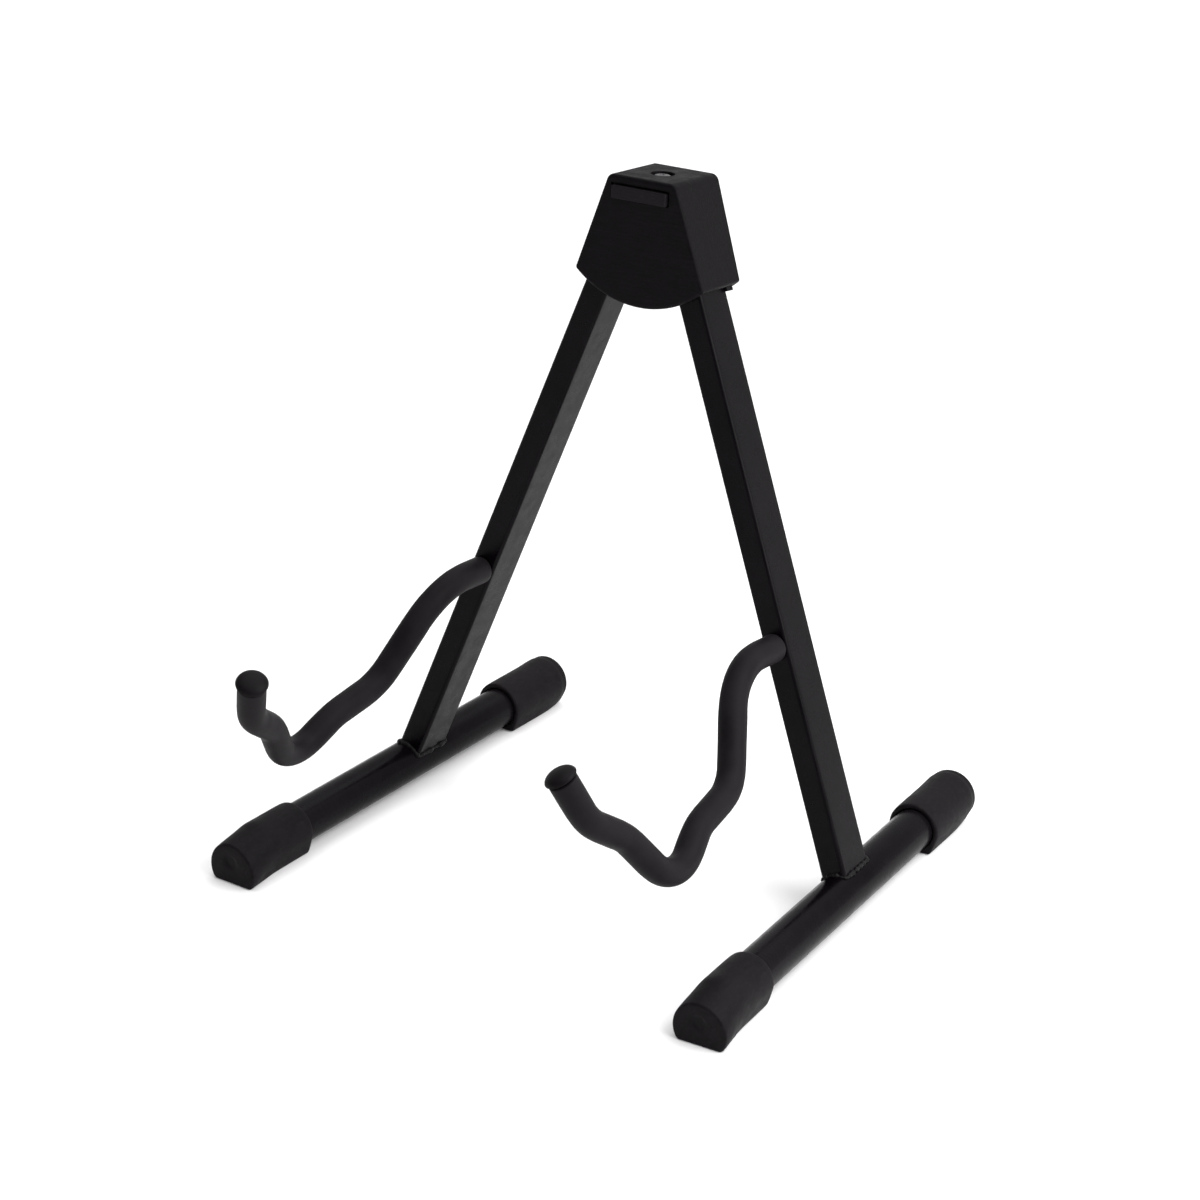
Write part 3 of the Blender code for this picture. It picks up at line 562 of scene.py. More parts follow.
def blackened_steel():
    """Dark oiled steel with clouding."""
    surface = Surface("blackened_steel", specular=0.5, metallic=1.0)
    cloud = surface.noise(520.0, detail=3.0)
    surface.colour(surface.clouded(cloud, (0.040, 0.038, 0.042), (0.120, 0.116, 0.122)))
    surface.roughness(cloud, 0.22, 0.38)
    surface.bump(surface.noise(1400.0, detail=2.0), 0.03 * MM, 0.5)
    return surface.material


def plug_plastic():
    """Satin moulded plastic."""
    surface = Surface("plug_plastic", specular=0.08)
    mottle = surface.noise(260.0, detail=3.0)
    surface.colour(surface.clouded(mottle, (0.0024, 0.0019, 0.0025), (0.0042, 0.0033, 0.0042)))
    surface.roughness(mottle, 0.40, 0.54)
    surface.bump(surface.noise(1200.0, detail=2.0), 0.04 * MM, 0.5)
    return surface.material


def zinc_plate():
    """Slightly clouded zinc plate."""
    surface = Surface("zinc_plate", specular=0.5, metallic=1.0)
    cloud = surface.noise(300.0, detail=4.0)
    surface.colour(surface.clouded(cloud, (0.34, 0.34, 0.36), (0.50, 0.50, 0.52)))
    surface.roughness(cloud, 0.28, 0.48)
    surface.bump(surface.noise(2000.0, detail=2.0), 0.02 * MM, 0.5)
    return surface.material


def nylon():
    """Natural nylon, a little yellowed."""
    surface = Surface("nylon", specular=0.4)
    cloud = surface.noise(240.0, detail=3.0)
    surface.colour(surface.clouded(cloud, (0.55, 0.52, 0.45), (0.66, 0.64, 0.58)))
    surface.roughness(cloud, 0.42, 0.58)
    surface.bump(surface.noise(1600.0, detail=2.0), 0.02 * MM, 0.5)
    return surface.material


# ---------------------------------------------------------- leg tube

def leg_tube(word, side, material):
    """Rectangular tube with drawn corners, its lower end coped to the foot bar."""
    leg = leg_frame(word, side)
    tops = [(leg.inverted() @ vertex.co).z
            for vertex in frame["nodes"][word + "_leg_tube"].data.vertices]
    top = max(tops)
    reach = bar_radius(word) - COPE_DEPTH
    rings = []
    for half_x, half_y, corner in (
            (TUBE_WIDTH / 2, TUBE_DEPTH / 2, TUBE_CORNER),
            (TUBE_WIDTH / 2 - TUBE_WALL, TUBE_DEPTH / 2 - TUBE_WALL, TUBE_CORNER - TUBE_WALL)):
        outline = rounded_rectangle(half_x, half_y, corner, 6, straight=8)
        foot = [saddle_end(word, side, x, y, reach) for x, y in outline]
        levels = [[Vector((x, y, z + rise)) for (x, y), z in zip(outline, foot)]
                  for rise in (0, COPE_BAND)]
        levels += [[Vector((x, y, z)) for x, y in outline] for z in (*TUBE_LEVELS, top)]
        rings += levels if not rings else levels[::-1]
    mesh = rings_mesh(word + "_tube", rings, closed=True)
    piece = new_piece(f"fine_{word}_leg_tube", mesh, leg, material)
    cutter = turned_mesh("hole", [(0, TUBE_DEPTH), (BUSH_HOLE, TUBE_DEPTH),
                                  (BUSH_HOLE, -TUBE_DEPTH), (0, -TUBE_DEPTH)], 32)
    carve(piece, cutter, leg @ Matrix.Rotation(pi / 2, 4, "X"))
    weighted_normals(piece)
    stand_for(piece, word + "_leg_tube", word + "_leg")


def saddle_end(word, side, x, y, reach):
    """Height, in the leg's axes, at which a line along the leg meets the foot bar."""
    to_foot = foot_frame(word, side).inverted() @ leg_frame(word, side)
    start = to_foot @ Vector((x, y, 0))
    step = to_foot.to_3x3() @ Vector((0, 0, -1))
    a = step.x ** 2 + step.z ** 2
    b = start.x * step.x + start.z * step.z
    c = start.x ** 2 + start.z ** 2 - reach ** 2
    return (b + sqrt(b * b - a * c)) / a


def foot_bar(word, side, material):
    """Round tube, open at both ends inside the caps."""
    foot = foot_frame(word, side)
    ends = [(foot.inverted() @ vertex.co).y
            for vertex in frame["nodes"][word + "_foot_bar"].data.vertices]
    outer = bar_radius(word)
    inner = outer - BAR_WALL
    sides = 72
    rings = []
    for radius, places in ((outer, (min(ends), -BAR_LEVEL, BAR_LEVEL, max(ends))),
                           (inner, (max(ends), min(ends)))):
        for y in places:
            rings.append([(radius * cos(2 * pi * k / sides), y, radius * sin(2 * pi * k / sides))
                          for k in range(sides)])
    piece = new_piece(f"fine_{word}_foot_bar", rings_mesh(word + "_bar", rings, closed=True),
                      foot, material)
    weighted_normals(piece)
    stand_for(piece, word + "_foot_bar", word + "_leg")


def leg_weld(word, side, material, seed):
    """A rippled fillet bead round the coped end of the leg."""
    leg = leg_frame(word, side)
    reach = bar_radius(word) + BEAD_OFFSET
    outline = rounded_rectangle(TUBE_WIDTH / 2 + BEAD_OFFSET, TUBE_DEPTH / 2 + BEAD_OFFSET,
                                TUBE_CORNER + BEAD_OFFSET, 8, straight=40)
    path = [Vector((x, y, saddle_end(word, side, x, y, reach))) for x, y in outline]
    travelled = 0.0
    rings = []
    sides = 16
    for k, centre in enumerate(path):
        ahead = path[(k + 1) % len(path)]
        tangent = (ahead - path[k - 1]).normalized()
        outward = Vector((centre.x, centre.y, 0)).normalized()
        outward = (outward - tangent * outward.dot(tangent)).normalized()
        other = tangent.cross(outward)
        ripple = abs(sin(pi * travelled / BEAD_RIPPLE))
        lump = noise.noise(centre * BEAD_LUMPS + SEED_STEP * seed)
        radius = BEAD_RADIUS * (0.80 + 0.14 * ripple + 0.75 * lump)
        rings.append([centre + (outward * cos(2 * pi * m / sides)
                                + other * sin(2 * pi * m / sides)) * radius
                      for m in range(sides)])
        travelled += (ahead - centre).length
    piece = new_piece(f"fine_{word}_leg_weld", rings_mesh(word + "_weld", rings, closed=True),
                      leg, material)
    stand_for(piece, word + "_leg_weld", word + "_leg")


# --------------------------------------------------------- foot caps

def front_stations(body, axis):
    """(from the mouth, arch radius, arch centre, sole half width, lift of the sole)."""
    return (
        (0.0, body - 0.2 * MM, axis, 11.9 * MM, 0.0),
        (6.0 * MM, body, axis, 12.0 * MM, 0.0),
        (CAP_LENGTH - 31.0 * MM, body, axis, 12.2 * MM, 0.0),
        (CAP_LENGTH - 23.0 * MM, body, axis - 0.1 * MM, 12.5 * MM, 0.0),
        (CAP_LENGTH - 16.5 * MM, body + 0.4 * MM, axis - 1.9 * MM, 13.2 * MM, 0.0),
        (CAP_LENGTH - 4.5 * MM, 16.8 * MM, axis - 5.2 * MM, 14.2 * MM, 0.0),
        (CAP_LENGTH, 16.6 * MM, axis - 5.9 * MM, 14.1 * MM, 0.0),
    )


def rear_stations(body, axis):
    """As the front stations; the end is round and its sole runs out."""
    return (
        (0.0, body - 0.2 * MM, axis, 11.9 * MM, 0.0),
        (6.0 * MM, body, axis, 12.0 * MM, 0.0),
        (CAP_LENGTH - 22.0 * MM, body, axis, 12.2 * MM, 0.0),
        (CAP_LENGTH - 15.0 * MM, body, axis + 0.3 * MM, 11.8 * MM, 0.0),
        (CAP_LENGTH - 7.5 * MM, body, axis + 0.2 * MM, 11.0 * MM, 0.2 * MM),
        (CAP_LENGTH - 6.5 * MM, body - 0.4 * MM, axis + 0.1 * MM, 10.8 * MM, 0.3 * MM),
        (CAP_LENGTH, body - 0.6 * MM, axis - 0.2 * MM, 9.8 * MM, 0.8 * MM),
    )


def between(stations, distance):
    """The stations' values at a distance, on a smooth curve through them."""
    for k, (near, far) in enumerate(zip(stations, stations[1:])):
        if distance <= far[0]:
            break
    before = stations[max(k - 1, 0)]
    after = stations[min(k + 2, len(stations) - 1)]
    run = far[0] - near[0]
    t = min(1.0, (distance - near[0]) / run)
    values = []
    for a, b, last, following in zip(near[1:], far[1:], before[1:], after[1:]):
        leaving = (b - last) / (far[0] - before[0]) * run
        arriving = (following - a) / (after[0] - near[0]) * run
        values.append(a * (1 + 2 * t) * (1 - t) ** 2 + leaving * t * (1 - t) ** 2
                      + b * t * t * (3 - 2 * t) + arriving * t * t * (t - 1))
    return values


def cap_section(radius, centre, sole_half_width, lift):
    """An arch on a flat sole, with rounded corners where they meet, from the floor."""
    corner = CAP_SOLE_CORNER
    dip = atan2(centre, sole_half_width) - acos(radius / hypot(sole_half_width, centre))
    trim = corner / radius
    arch = arc((0, centre), radius, -dip + trim, pi + dip - trim, 40)
    left = bent(arch[-1], (-sole_half_width, 0), (-sole_half_width + corner, 0), 6)
    right = bent((sole_half_width - corner, 0), (sole_half_width, 0), arch[0], 6)
    sole = [(-sole_half_width + corner + (2 * sole_half_width - 2 * corner) * k / 6, 0)
            for k in range(1, 6)]
    return [(x, z + lift) for x, z in arch + left + sole + right[:-1]]


def bent(start, corner, end, steps):
    """A quadratic bend from start towards the corner and on to the end."""
    points = []
    for k in range(1, steps + 1):
        t = k / steps
        points.append(tuple((1 - t) ** 2 * s + 2 * t * (1 - t) * c + t * t * e
                            for s, c, e in zip(start, corner, end)))
    return points


def shrunk(section, axis, amount):
    """A section drawn in towards the bar's axis by a distance."""
    drawn = []
    for x, z in section:
        away = Vector((x, z - axis))
        away *= 1 - amount / away.length
        drawn.append((away.x, away.y + axis))
    return drawn


def cap_sections(stations, axis, length, end_round):
    """(distance from the mouth, section) along a cap whose end edges are rounded."""
    mouth, side, nose = [], [], []
    for k in range(6):
        turn = pi / 2 * k / 6
        section = shrunk(cap_section(*between(stations, 0)), axis, CAP_EDGE * (1 - cos(turn)))
        mouth.append((CAP_EDGE * (1 - sin(turn)), section))
    for k in range(1, CAP_STEPS + 1):
        distance = CAP_EDGE + (length - end_round - CAP_EDGE) * k / CAP_STEPS
        side.append((distance, cap_section(*between(stations, distance))))
    for k in range(1, 9):
        turn = pi / 2 * k / 8
        distance = length - end_round * (1 - sin(turn))
        section = cap_section(*between(stations, distance))
        nose.append((distance, shrunk(section, axis, end_round * (1 - cos(turn)))))
    return mouth[::-1] + side + nose


def circle_at(ring, radius, y):
    """A circle about the bar's axis, its points in line with those of a ring."""
    return [(radius * x / hypot(x, z), y, radius * z / hypot(x, z)) for x, _, z in ring]


def foot_cap(word, side, end, material):
    """Moulded rubber cap: rounded mouth, blind bore, and a toe or a round end."""
    foot = foot_frame(word, side)
    axis = bar_height(word)
    body = bar_radius(word) + CAP_WALL + (REAR_CAP_SWELL if end == "rear" else 0.0)
    stations = (front_stations if end == "front" else rear_stations)(body, axis)
    end_round = CAP_EDGE if end == "front" else CAP_END_ROUND
    direction = -1 if end == "front" else 1
    node = f"{word}_foot_cap_{end}"
    reach = [(foot.inverted() @ vertex.co).y * direction
             for vertex in frame["nodes"][node].data.vertices]
    mouth = min(reach)
    length = max(reach) - mouth
    skin = [[(x, direction * (mouth + distance), z - axis) for x, z in section]
            for distance, section in cap_sections(stations, axis, length, end_round)]
    face = skin[-1]
    crown = [[(x * part, y + direction * CAP_FACE_CROWN * (1 - part), z * part)
              for x, y, z in face] for part in (0.75, 0.5)]
    dimple = [circle_at(face, radius, direction * (mouth + length - sink))
              for radius, sink in ((DIMPLE_RADIUS, 0.0), (DIMPLE_RADIUS - DIMPLE_EDGE, DIMPLE_DEPTH),
                                   (DIMPLE_RADIUS / 2, DIMPLE_DEPTH))]
    bore = bar_radius(word) + CAP_BORE_GAP
    inner = [circle_at(skin[0], radius, direction * (mouth + distance))
             for radius, distance in ((bore / 2, CAP_BORE_DEPTH), (bore, CAP_BORE_DEPTH),
                                      (bore, 2 * MM), (bore + 0.15 * MM, 0.6 * MM),
                                      (bore + 0.5 * MM, 0.15 * MM))]
    mesh = rings_mesh(node, inner + skin + crown + dimple,
                      start_centre=(0, direction * (mouth + CAP_BORE_DEPTH), 0),
                      end_centre=(0, direction * (mouth + length - DIMPLE_DEPTH), 0))
    piece = new_piece("fine_" + node, mesh, foot, material)
    stand_for(piece, node, word + "_leg")


# ------------------------------------------------------- cradle arms

def filleted(corners, radii, step):
    """A path of straight runs and arcs, in points about a step apart."""
    ends = [(corners[0], corners[0])]
    bends = []
    for before, corner, after, radius in zip(corners, corners[1:], corners[2:], radii):
        into = (corner - before).normalized()
        away = (after - corner).normalized()
        turn = into.angle(away)
        start = corner - into * (radius * sin(turn / 2) / cos(turn / 2))
        centre = start + (away - into * into.dot(away)).normalized() * radius
        axis = into.cross(away).normalized()
        pieces = max(3, round(turn * radius / step))
        bend = [centre + Matrix.Rotation(turn * k / pieces, 3, axis) @ (start - centre)
                for k in range(pieces + 1)]
        bends.append(bend)
        ends.append((bend[0], bend[-1]))
    ends.append((corners[-1], corners[-1]))
    path = [corners[0]]
    for (_, start), (end, _), bend in zip(ends, ends[1:], bends + [[corners[-1]]]):
        pieces = max(1, round((end - start).length / step))
        path += [start + (end - start) * k / pieces for k in range(1, pieces)]
        path += bend
    return path


def arm_path(word, side, start):
    """Centre line of the arm in the leg's axes, from a distance off the tube's face."""
    length = leg_length(word, side)
    corners = [Vector((0, -forward, up - length)) for up, forward, _ in ARM_CORNERS]
    root = Vector((0, -TUBE_DEPTH / 2 - start, ARM_CORNERS[0][0] - length))
    tip = Vector((0, -ARM_TIP[1], ARM_TIP[0] - length))
    radii = [radius for _, _, radius in ARM_CORNERS]
    return filleted([root] + corners + [tip], radii, ARM_STEP)


def path_ring(path, k, radii):
    """A ring round a path that lies in the plane x = 0, a radius for each of its points."""
    tangent = (path[min(k + 1, len(path) - 1)] - path[max(k - 1, 0)]).normalized()
    across = Vector((1, 0, 0))
    other = tangent.cross(across)
    count = len(radii)
    return [path[k] + (across * cos(2 * pi * m / count) + other * sin(2 * pi * m / count)) * r
            for m, r in enumerate(radii)]


def bend_at(path, k):
    """Curvature of the path, above 0 where it bends away from the rings' top."""
    if k < 2 or k > len(path) - 3:
        return 0.0
    before = path[k] - path[k - 2]
    after = path[k + 2] - path[k]
    turn = before.cross(after).x / (before.length * after.length)
    return turn / ((before.length + after.length) / 2)


def foam_radii(bend, travelled, swell, sides):
    """Radii round a ring of foam, creased inside a bend and flattened outside it."""
    tight = min(1.0, abs(bend) * TIGHT_BEND)
    wave = sin(2 * pi * travelled / CREASE_PITCH)
    radii = []
    for m in range(sides):
        height = sin(2 * pi * m / sides)
        inside = max(0.0, -height if bend > 0 else height)
        flatten = SLEEVE_FLATTENING * tight * (1 - inside) * abs(height)
        crease = tight * inside ** 2 * CREASE_DEPTH * wave
        radii.append(SLEEVE_RADIUS + crease + swell - flatten)
    return radii


def cradle_sleeve(word, side, material, seed):
    """Foam tube pushed over the bent rod: it swells, creases and flattens at bends."""
    path = arm_path(word, side, SLEEVE_START + SLEEVE_EDGE)
    path[-1] = path[-1] - (path[-1] - path[-2]).normalized() * SLEEVE_EDGE
    sides = 40
    rings = []
    travelled = 0.0
    for k, centre in enumerate(path):
        if k:
            travelled += (centre - path[k - 1]).length
        swell = SLEEVE_SWELL * noise.noise(centre * SLEEVE_LUMPS + SEED_STEP * seed)
        rings.append(path_ring(path, k, foam_radii(bend_at(path, k), travelled, swell, sides)))
    rings = end_rounding(path, rings, 0, 1) + rings + end_rounding(path, rings, -1, -1)
    last = len(path) - 1
    inner = [path_ring(path, k, [SLEEVE_BORE] * sides) for k in [*range(0, last, 2), last]]
    mesh = rings_mesh(word + "_sleeve", rings + inner[::-1], closed=True)
    piece = new_piece(f"fine_{word}_cradle_sleeve", mesh, arm_frame(word, side), material)
    stand_for(piece, word + "_cradle_sleeve", word + "_leg")


def end_rounding(path, rings, index, way):
    """Rings that round over the sleeve's end edge, from its face to its side."""
    k = index % len(path)
    outward = (path[k] - path[k + way]).normalized()
    rounding = []
    for step in range(1, 5):
        turn = pi / 2 * step / 4
        ring = []
        for point in rings[index]:
            away = (point - path[k]).normalized()
            ring.append(point - away * SLEEVE_EDGE * (1 - cos(turn))
                        + outward * SLEEVE_EDGE * sin(turn))
        rounding.append(ring)
    return rounding[::-1] if way == 1 else rounding


def end_plug(word, side, material):
    """Mushroom plug: a low dome over a thin rim, held off the sleeve by its neck, with a thin ring
    of dark plastic on the foam's end that stands in for the shade in the groove.
    """
    path = arm_path(word, side, SLEEVE_START)
    heading = (path[-1] - path[-2]).normalized()
    crown = PLUG_HEIGHT - PLUG_GAP - PLUG_RIM
    dome = []
    for k in range(13):
        angle = pi / 2 * k / 12
        dome.append(((PLUG_RADIUS - 0.2 * MM) * sin(angle),
                     PLUG_GAP + PLUG_RIM + crown * cos(angle) ** PLUG_DOME))
    # the last points make a thin ring of dark plastic over the foam's end: a dark sheet standing in
    # for the shade in the groove under the rim
    rim = [(PLUG_RADIUS, PLUG_GAP + 0.8 * PLUG_RIM), (PLUG_RADIUS, PLUG_GAP + 0.35 * PLUG_RIM),
           (PLUG_RADIUS - 0.4 * MM, PLUG_GAP), (PLUG_NECK + PLUG_NECK_ROUND, PLUG_GAP),
           (PLUG_NECK, PLUG_GAP - PLUG_NECK_ROUND), (PLUG_NECK, PLUG_SHADE_RING_HEIGHT),
           (PLUG_SHADE_RING, PLUG_SHADE_RING_EDGE), (PLUG_SHADE_RING, 0.0)]
    bore = [(SLEEVE_BORE, 0.0), (SLEEVE_BORE, PLUG_BORE), (0, PLUG_BORE)]
    mesh = turned_mesh(word + "_plug", dome + rim + bore, 48)
    place = arm_frame(word, side) @ Matrix.LocRotScale(
        path[-1] + heading * PLUG_SEAT, heading.to_track_quat("Z", "Y"), None)
    piece = new_piece(f"fine_{word}_end_plug", mesh, place, material)
    stand_for(piece, word + "_end_plug", word + "_leg")


# -------------------------------------------------------------- head

def side_line(height, offset):
    """Half width, at a height, of a line along the leg at an offset from its middle."""
    half_span = pivot("right").x
    pivot_height = (head_frame().inverted() @ pivot("right")).z
    leg_tan = sin(SPLAY) / cos(SPLAY)
    return half_span + (pivot_height - height) * leg_tan + offset / cos(SPLAY)


def head_outline():
    """Front view, clockwise from the top left: slanted sides on an arched lower edge."""
    corner_x = HEAD_CORNER_HALF_WIDTH
    radius = (corner_x ** 2 + HEAD_SAG ** 2) / (2 * HEAD_SAG)
    centre = (0, HEAD_CORNER - HEAD_SAG + radius)
    half_angle = acos(1 - HEAD_SAG / radius)
    lower = arc(centre, radius, -pi / 2 + half_angle, -pi / 2 - half_angle, 32)
    corners = [(-HEAD_TOP_HALF_WIDTH, HEAD_TOP), (HEAD_TOP_HALF_WIDTH, HEAD_TOP)] + lower
    low_round = [HEAD_LOW_ROUND]
    return corners, [HEAD_ROUND] * 2 + low_round + [0] * (len(lower) - 2) + low_round


def flared(mesh):
    """Lean the front half forwards and the rear half back, as the cover's faces do."""
    for vertex in mesh.vertices:
        spread = HEAD_FLARE * (vertex.co.z - HEAD_CORNER)
        vertex.co.y += spread if vertex.co.y > 0 else -spread
    return mesh


def head_cavity():
    """The space under the cover, its sides along the spread legs."""
    top = HEAD_TOP - HEAD_ROOF
    low = HEAD_CORNER - 2 * HEAD_SAG
    outer = (HEAD_CORNER_HALF_WIDTH - side_line(HEAD_CORNER, 0)) * cos(SPLAY)
    half_low = side_line(low, outer - HEAD_WALL)
    half_top = side_line(top, outer - HEAD_WALL)
    outline = rounded_outline(
        [(-half_top, top), (half_top, top), (half_low, low), (-half_low, low)],
        [HEAD_INNER_ROUND, HEAD_INNER_ROUND, 0, 0], 5)
    return flared(prism_mesh("cavity", outline, -HEAD_FRONT + HEAD_WALL,
                             HEAD_REAR - HEAD_REAR_WALL))


def strip_pocket():
    left = -STRIP_HALF_LENGTH - STRIP_OFFSET - STRIP_CLEARANCE
    right = STRIP_HALF_LENGTH - STRIP_OFFSET + STRIP_CLEARANCE
    high = STRIP_TOP + STRIP_CLEARANCE
    low = STRIP_TOP - STRIP_HEIGHT - STRIP_LOW_CLEARANCE
    outline = rounded_outline([(left, high), (right, high), (right, low), (left, low)],
                              [POCKET_CORNER] * 4, 4)
    return flared(prism_mesh("pocket", outline, -HEAD_FRONT - 5 * MM,
                             -HEAD_FRONT + STRIP_POCKET))


def screw_recess():
    """Round recess with a softened rim, and the screw's hole, from the cover's top."""
    profile = [(0, 5 * MM), (RECESS_RADIUS + 0.5 * MM, 5 * MM), (RECESS_RADIUS + 0.5 * MM, 0.0),
               (RECESS_RADIUS + 0.2 * MM, -0.15 * MM), (RECESS_RADIUS, -0.5 * MM),
               (RECESS_RADIUS, -RECESS_DEPTH), (SCREW_HOLE, -RECESS_DEPTH),
               (SCREW_HOLE, -HEAD_ROOF - 2 * MM), (0, -HEAD_ROOF - 2 * MM)]
    return turned_mesh("recess", profile, 48)


def head_cover(material):
    """Moulded cover with rounded edges, open below, with a strip pocket and a recess."""
    place = head_frame()
    corners, radii = head_outline()
    rings = []
    for depth, way in ((-HEAD_FRONT, 1), (HEAD_REAR, -1)):
        edge = [(depth + way * HEAD_EDGE * (1 - sin(pi / 2 * k / 6)),
                 HEAD_EDGE * (1 - cos(pi / 2 * k / 6))) for k in range(7)]
        edge.append((depth, HEAD_EDGE + HEAD_FACE_MARGIN))
        loops = [[(x, y, z) for x, z in drawn_in(corners, radii, drawn, 6)]
                 for y, drawn in edge]
        rings += loops[::-1] if way == 1 else loops
    mesh = flared(rings_mesh("head_cover", rings, flat_ends=True))
    piece = new_piece("fine_head_cover", mesh, place, material)
    carve(piece, head_cavity(), place)
    carve(piece, strip_pocket(), place)
    carve(piece, screw_recess(), place @ Matrix.Translation((0, 0, HEAD_TOP)))
    weighted_normals(piece)
    stand_for(piece, "head_cover", "head")


def bumper_strip(material):
    """Rubber strip with rounded edges, proud of the cover's front."""
    low_z = STRIP_TOP - STRIP_HEIGHT
    left, right = -STRIP_HALF_LENGTH - STRIP_OFFSET, STRIP_HALF_LENGTH - STRIP_OFFSET
    corners = [(left, STRIP_TOP), (right, STRIP_TOP), (right, low_z), (left, low_z)]
    front = -HEAD_FRONT - STRIP_PROUD
    rings = []
    for k in range(7):
        turn = pi / 2 * k / 6
        outline = drawn_in(corners, [STRIP_EDGE] * 4, STRIP_EDGE * (1 - sin(turn)), 5)
        rings.append([(x, front + STRIP_EDGE * (1 - cos(turn)), z) for x, z in outline])
    rings.append([(x, -HEAD_FRONT + STRIP_POCKET - 0.1 * MM, z) for x, z in outline])
    mesh = flared(rings_mesh("strip", rings, flat_ends=True))
    piece = new_piece("fine_bumper_strip", mesh, head_frame(), material)
    weighted_normals(piece)
    stand_for(piece, "bumper_strip", "head")


def cover_screw(material):
    """Low round head with a cross recess, sunk in the roof of the cover."""
    seat = HEAD_TOP - RECESS_DEPTH + SCREW_SEAT
    crown = [(SCREW_RADIUS * sin(pi / 2 * k / 10),
              seat + SCREW_RIM + (SCREW_HEIGHT - SCREW_RIM) * cos(pi / 2 * k / 10))
             for k in range(11)]
    shank = [(SCREW_RADIUS, seat), (SHANK_RADIUS, seat),
             (SHANK_RADIUS, seat - SHANK_LENGTH + SHANK_POINT),
             (SHANK_RADIUS / 2, seat - SHANK_LENGTH), (0, seat - SHANK_LENGTH)]
    piece = new_piece("fine_cover_screw", turned_mesh("screw", crown + shank, 48), head_frame(),
                      material)
    slot = [(-SLOT_LENGTH / 2, 1 * MM), (SLOT_LENGTH / 2, 1 * MM),
            (SLOT_BOTTOM / 2, -SLOT_DEPTH), (-SLOT_BOTTOM / 2, -SLOT_DEPTH)]
    top = head_frame() @ Matrix.Translation((0, 0, seat + SCREW_HEIGHT))
    for turn in (pi / 4, 3 * pi / 4):
        carve(piece, prism_mesh("slot", slot, -SLOT_WIDTH / 2, SLOT_WIDTH / 2),
              top @ Matrix.Rotation(turn, 4, "Z"))
    weighted_normals(piece)
    stand_for(piece, "cover_screw", "head")


def carried_over(names, material, bevel=0.0):
    """CAD nodes whose shape stays: a better material, and softened edges."""
    for name in names:
        node = frame["nodes"][name]
        node.data.materials.clear()
        node.data.materials.append(material)
        if bevel:
            modifier = node.modifiers.new("softened_edges", "BEVEL")
            modifier.width = bevel
            modifier.segments = 2
            modifier.limit_method = "ANGLE"
            modifier.angle_limit = SHARP_ANGLE


# ------------------------------------------------------------- stage

def add_camera():
    data = bpy.data.cameras.new("camera")
    data.lens = CAMERA_LENS
    data.sensor_width = 36
    camera = bpy.data.objects.new("camera", data)
    bpy.context.scene.collection.objects.link(camera)
    camera.location = CAMERA_PLACE
    camera.rotation_euler = (pi / 2 - CAMERA_ELEVATION, 0, CAMERA_AZIMUTH)
    bpy.context.scene.camera = camera


def lamp(kind, name, place, aim, energy):
    data = bpy.data.lights.new(name, kind)
    data.energy = energy
    light = bpy.data.objects.new(name, data)
    bpy.context.scene.collection.objects.link(light)
    light.location = place
    light.rotation_euler = (Vector(aim) - Vector(place)).to_track_quat("-Z", "Y").to_euler()
    light.visible_camera = False
    return data


def add_floor():
    shape = bmesh.new()
    bmesh.ops.create_circle(shape, cap_ends=True, segments=64, radius=FLOOR_RADIUS)
    mesh = mesh_from_bmesh("floor", shape)
    surface = Surface("pale_floor", specular=0.1)
    surface.shader.inputs["Roughness"].default_value = 0.9
    surface.shader.inputs["Base Color"].default_value = (FLOOR_ALBEDO,) * 3 + (1.0,)
    floor = new_piece("floor", mesh, Matrix.Translation((0, 0, -0.1 * MM)), surface.material)


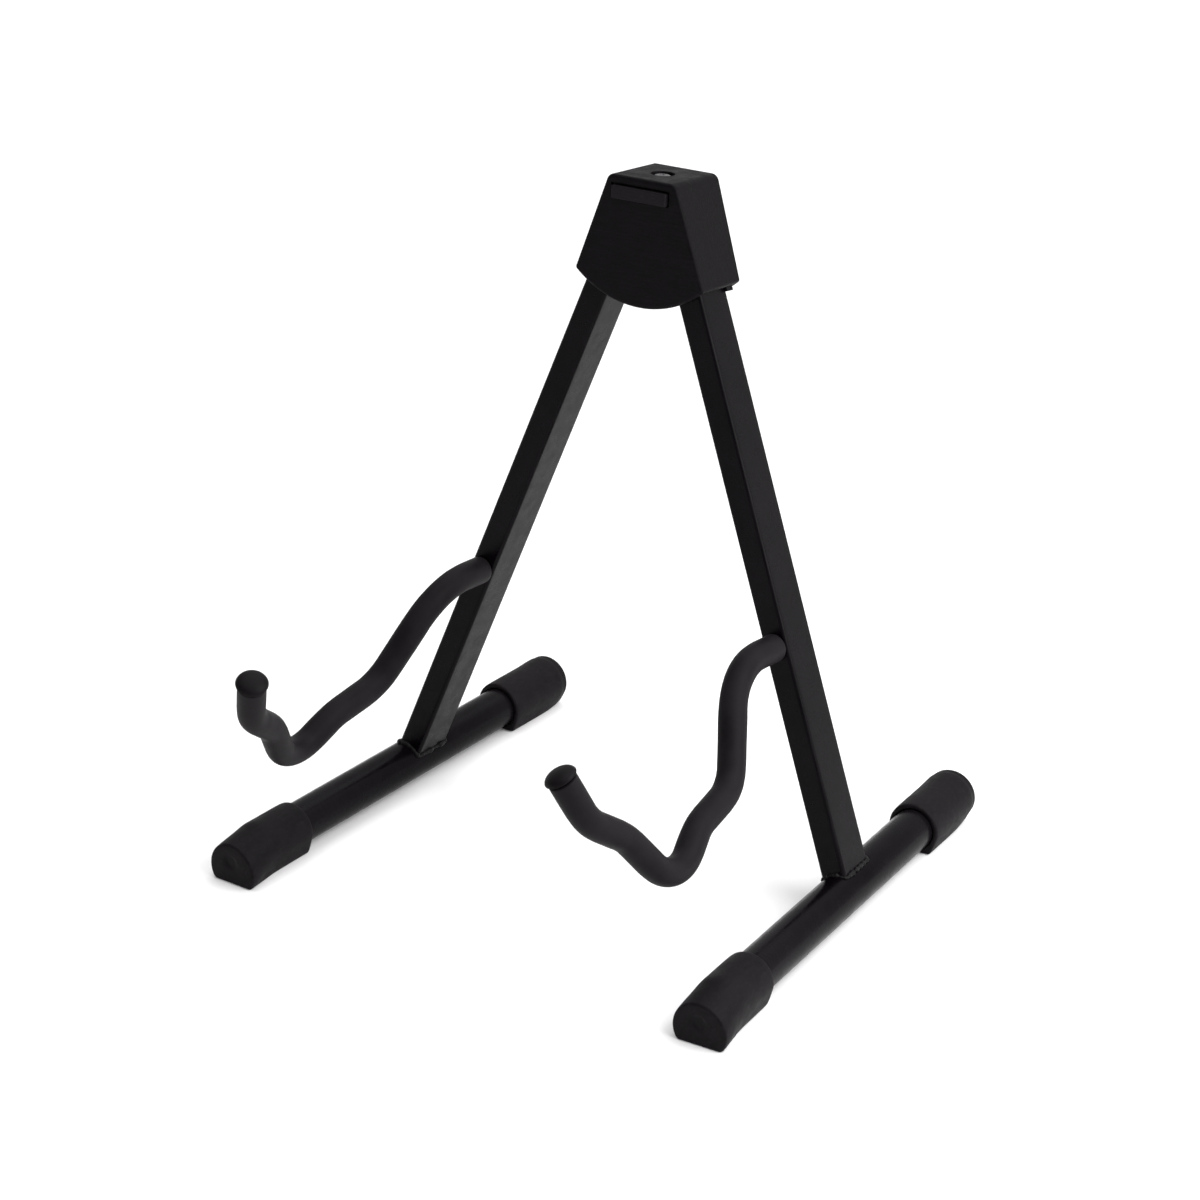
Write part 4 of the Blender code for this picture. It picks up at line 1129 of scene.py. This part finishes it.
def studio_world():
    """Bright walls behind and to the right of the stand, dim ones in front of it."""
    world = bpy.data.worlds.new("studio")
    world.use_nodes = True
    tree = world.node_tree
    place = tree.nodes.new("ShaderNodeTexCoord")
    facing = tree.nodes.new("ShaderNodeVectorMath")
    facing.operation = "DOT_PRODUCT"
    facing.inputs[1].default_value = Vector(BRIGHT_SIDE).normalized()
    tree.links.new(place.outputs["Generated"], facing.inputs[0])
    spread = tree.nodes.new("ShaderNodeMapRange")
    spread.interpolation_type = "SMOOTHSTEP"
    spread.inputs["From Min"].default_value = -WORLD_FADE
    spread.inputs["From Max"].default_value = WORLD_FADE
    spread.inputs["To Min"].default_value = WORLD_DIM
    spread.inputs["To Max"].default_value = WORLD_BRIGHT
    tree.links.new(facing.outputs["Value"], spread.inputs["Value"])
    background = tree.nodes["Background"]
    background.inputs["Color"].default_value = WORLD_TINT
    tree.links.new(spread.outputs["Result"], background.inputs["Strength"])
    bpy.context.scene.world = world


def add_stage():
    add_camera()
    add_floor()
    studio_world()
    ceiling = lamp("SUN", "ceiling", CEILING_PLACE, (0, 0, 0), CEILING_LIGHT)
    ceiling.angle = CEILING_SPREAD
    softbox = lamp("AREA", "softbox", SOFTBOX_PLACE, SOFTBOX_AIM, SOFTBOX_LIGHT)
    softbox.shape = "SQUARE"
    softbox.size = SOFTBOX_SIZE
    bpy.context.scene.view_settings.view_transform = "Standard"


def main():
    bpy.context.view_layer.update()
    leg_coat = powder_coat("leg_coat", 0.28, 0.068)
    bar_coat = powder_coat("bar_coat", 0.22, 0.045)
    bead = weld_metal()
    foam = foam_rubber()
    plastic = plug_plastic()
    zinc = zinc_plate()
    clear_nylon = nylon()
    head_rubber = moulded_rubber("head_rubber", (0.0008, 0.0004, 0.0009),
                                 (0.0032, 0.0023, 0.0032), (60.0, 700.0, 700.0), 0.070)
    cap_rubber = moulded_rubber("cap_rubber", (0.0028, 0.0022, 0.0029),
                                (0.0074, 0.0061, 0.0073), (500.0, 260.0, 500.0), 0.065)
    pad_rubber = moulded_rubber("pad_rubber", (0.0068, 0.0056, 0.0069),
                                (0.0092, 0.0078, 0.0092), (200.0, 700.0, 900.0), 0.07)
    head_cover(head_rubber)
    bumper_strip(pad_rubber)
    cover_screw(blackened_steel())
    for seed, (word, side) in enumerate(SIDES):
        leg_tube(word, side, leg_coat)
        foot_bar(word, side, bar_coat)
        leg_weld(word, side, bead, seed)
        foot_cap(word, side, "front", cap_rubber)
        foot_cap(word, side, "rear", cap_rubber)
        cradle_sleeve(word, side, foam, seed)
        end_plug(word, side, plastic)
        carried_over([word + "_cradle_rod"], leg_coat)
        carried_over([word + "_pivot_rivet"], zinc)
        carried_over([word + end for end in ("_pivot_bush", "_washer_front", "_washer_rear")],
                     clear_nylon)
    carried_over(["hinge_bracket"], bar_coat, bevel=BRACKET_BEVEL)
    add_stage()


main()
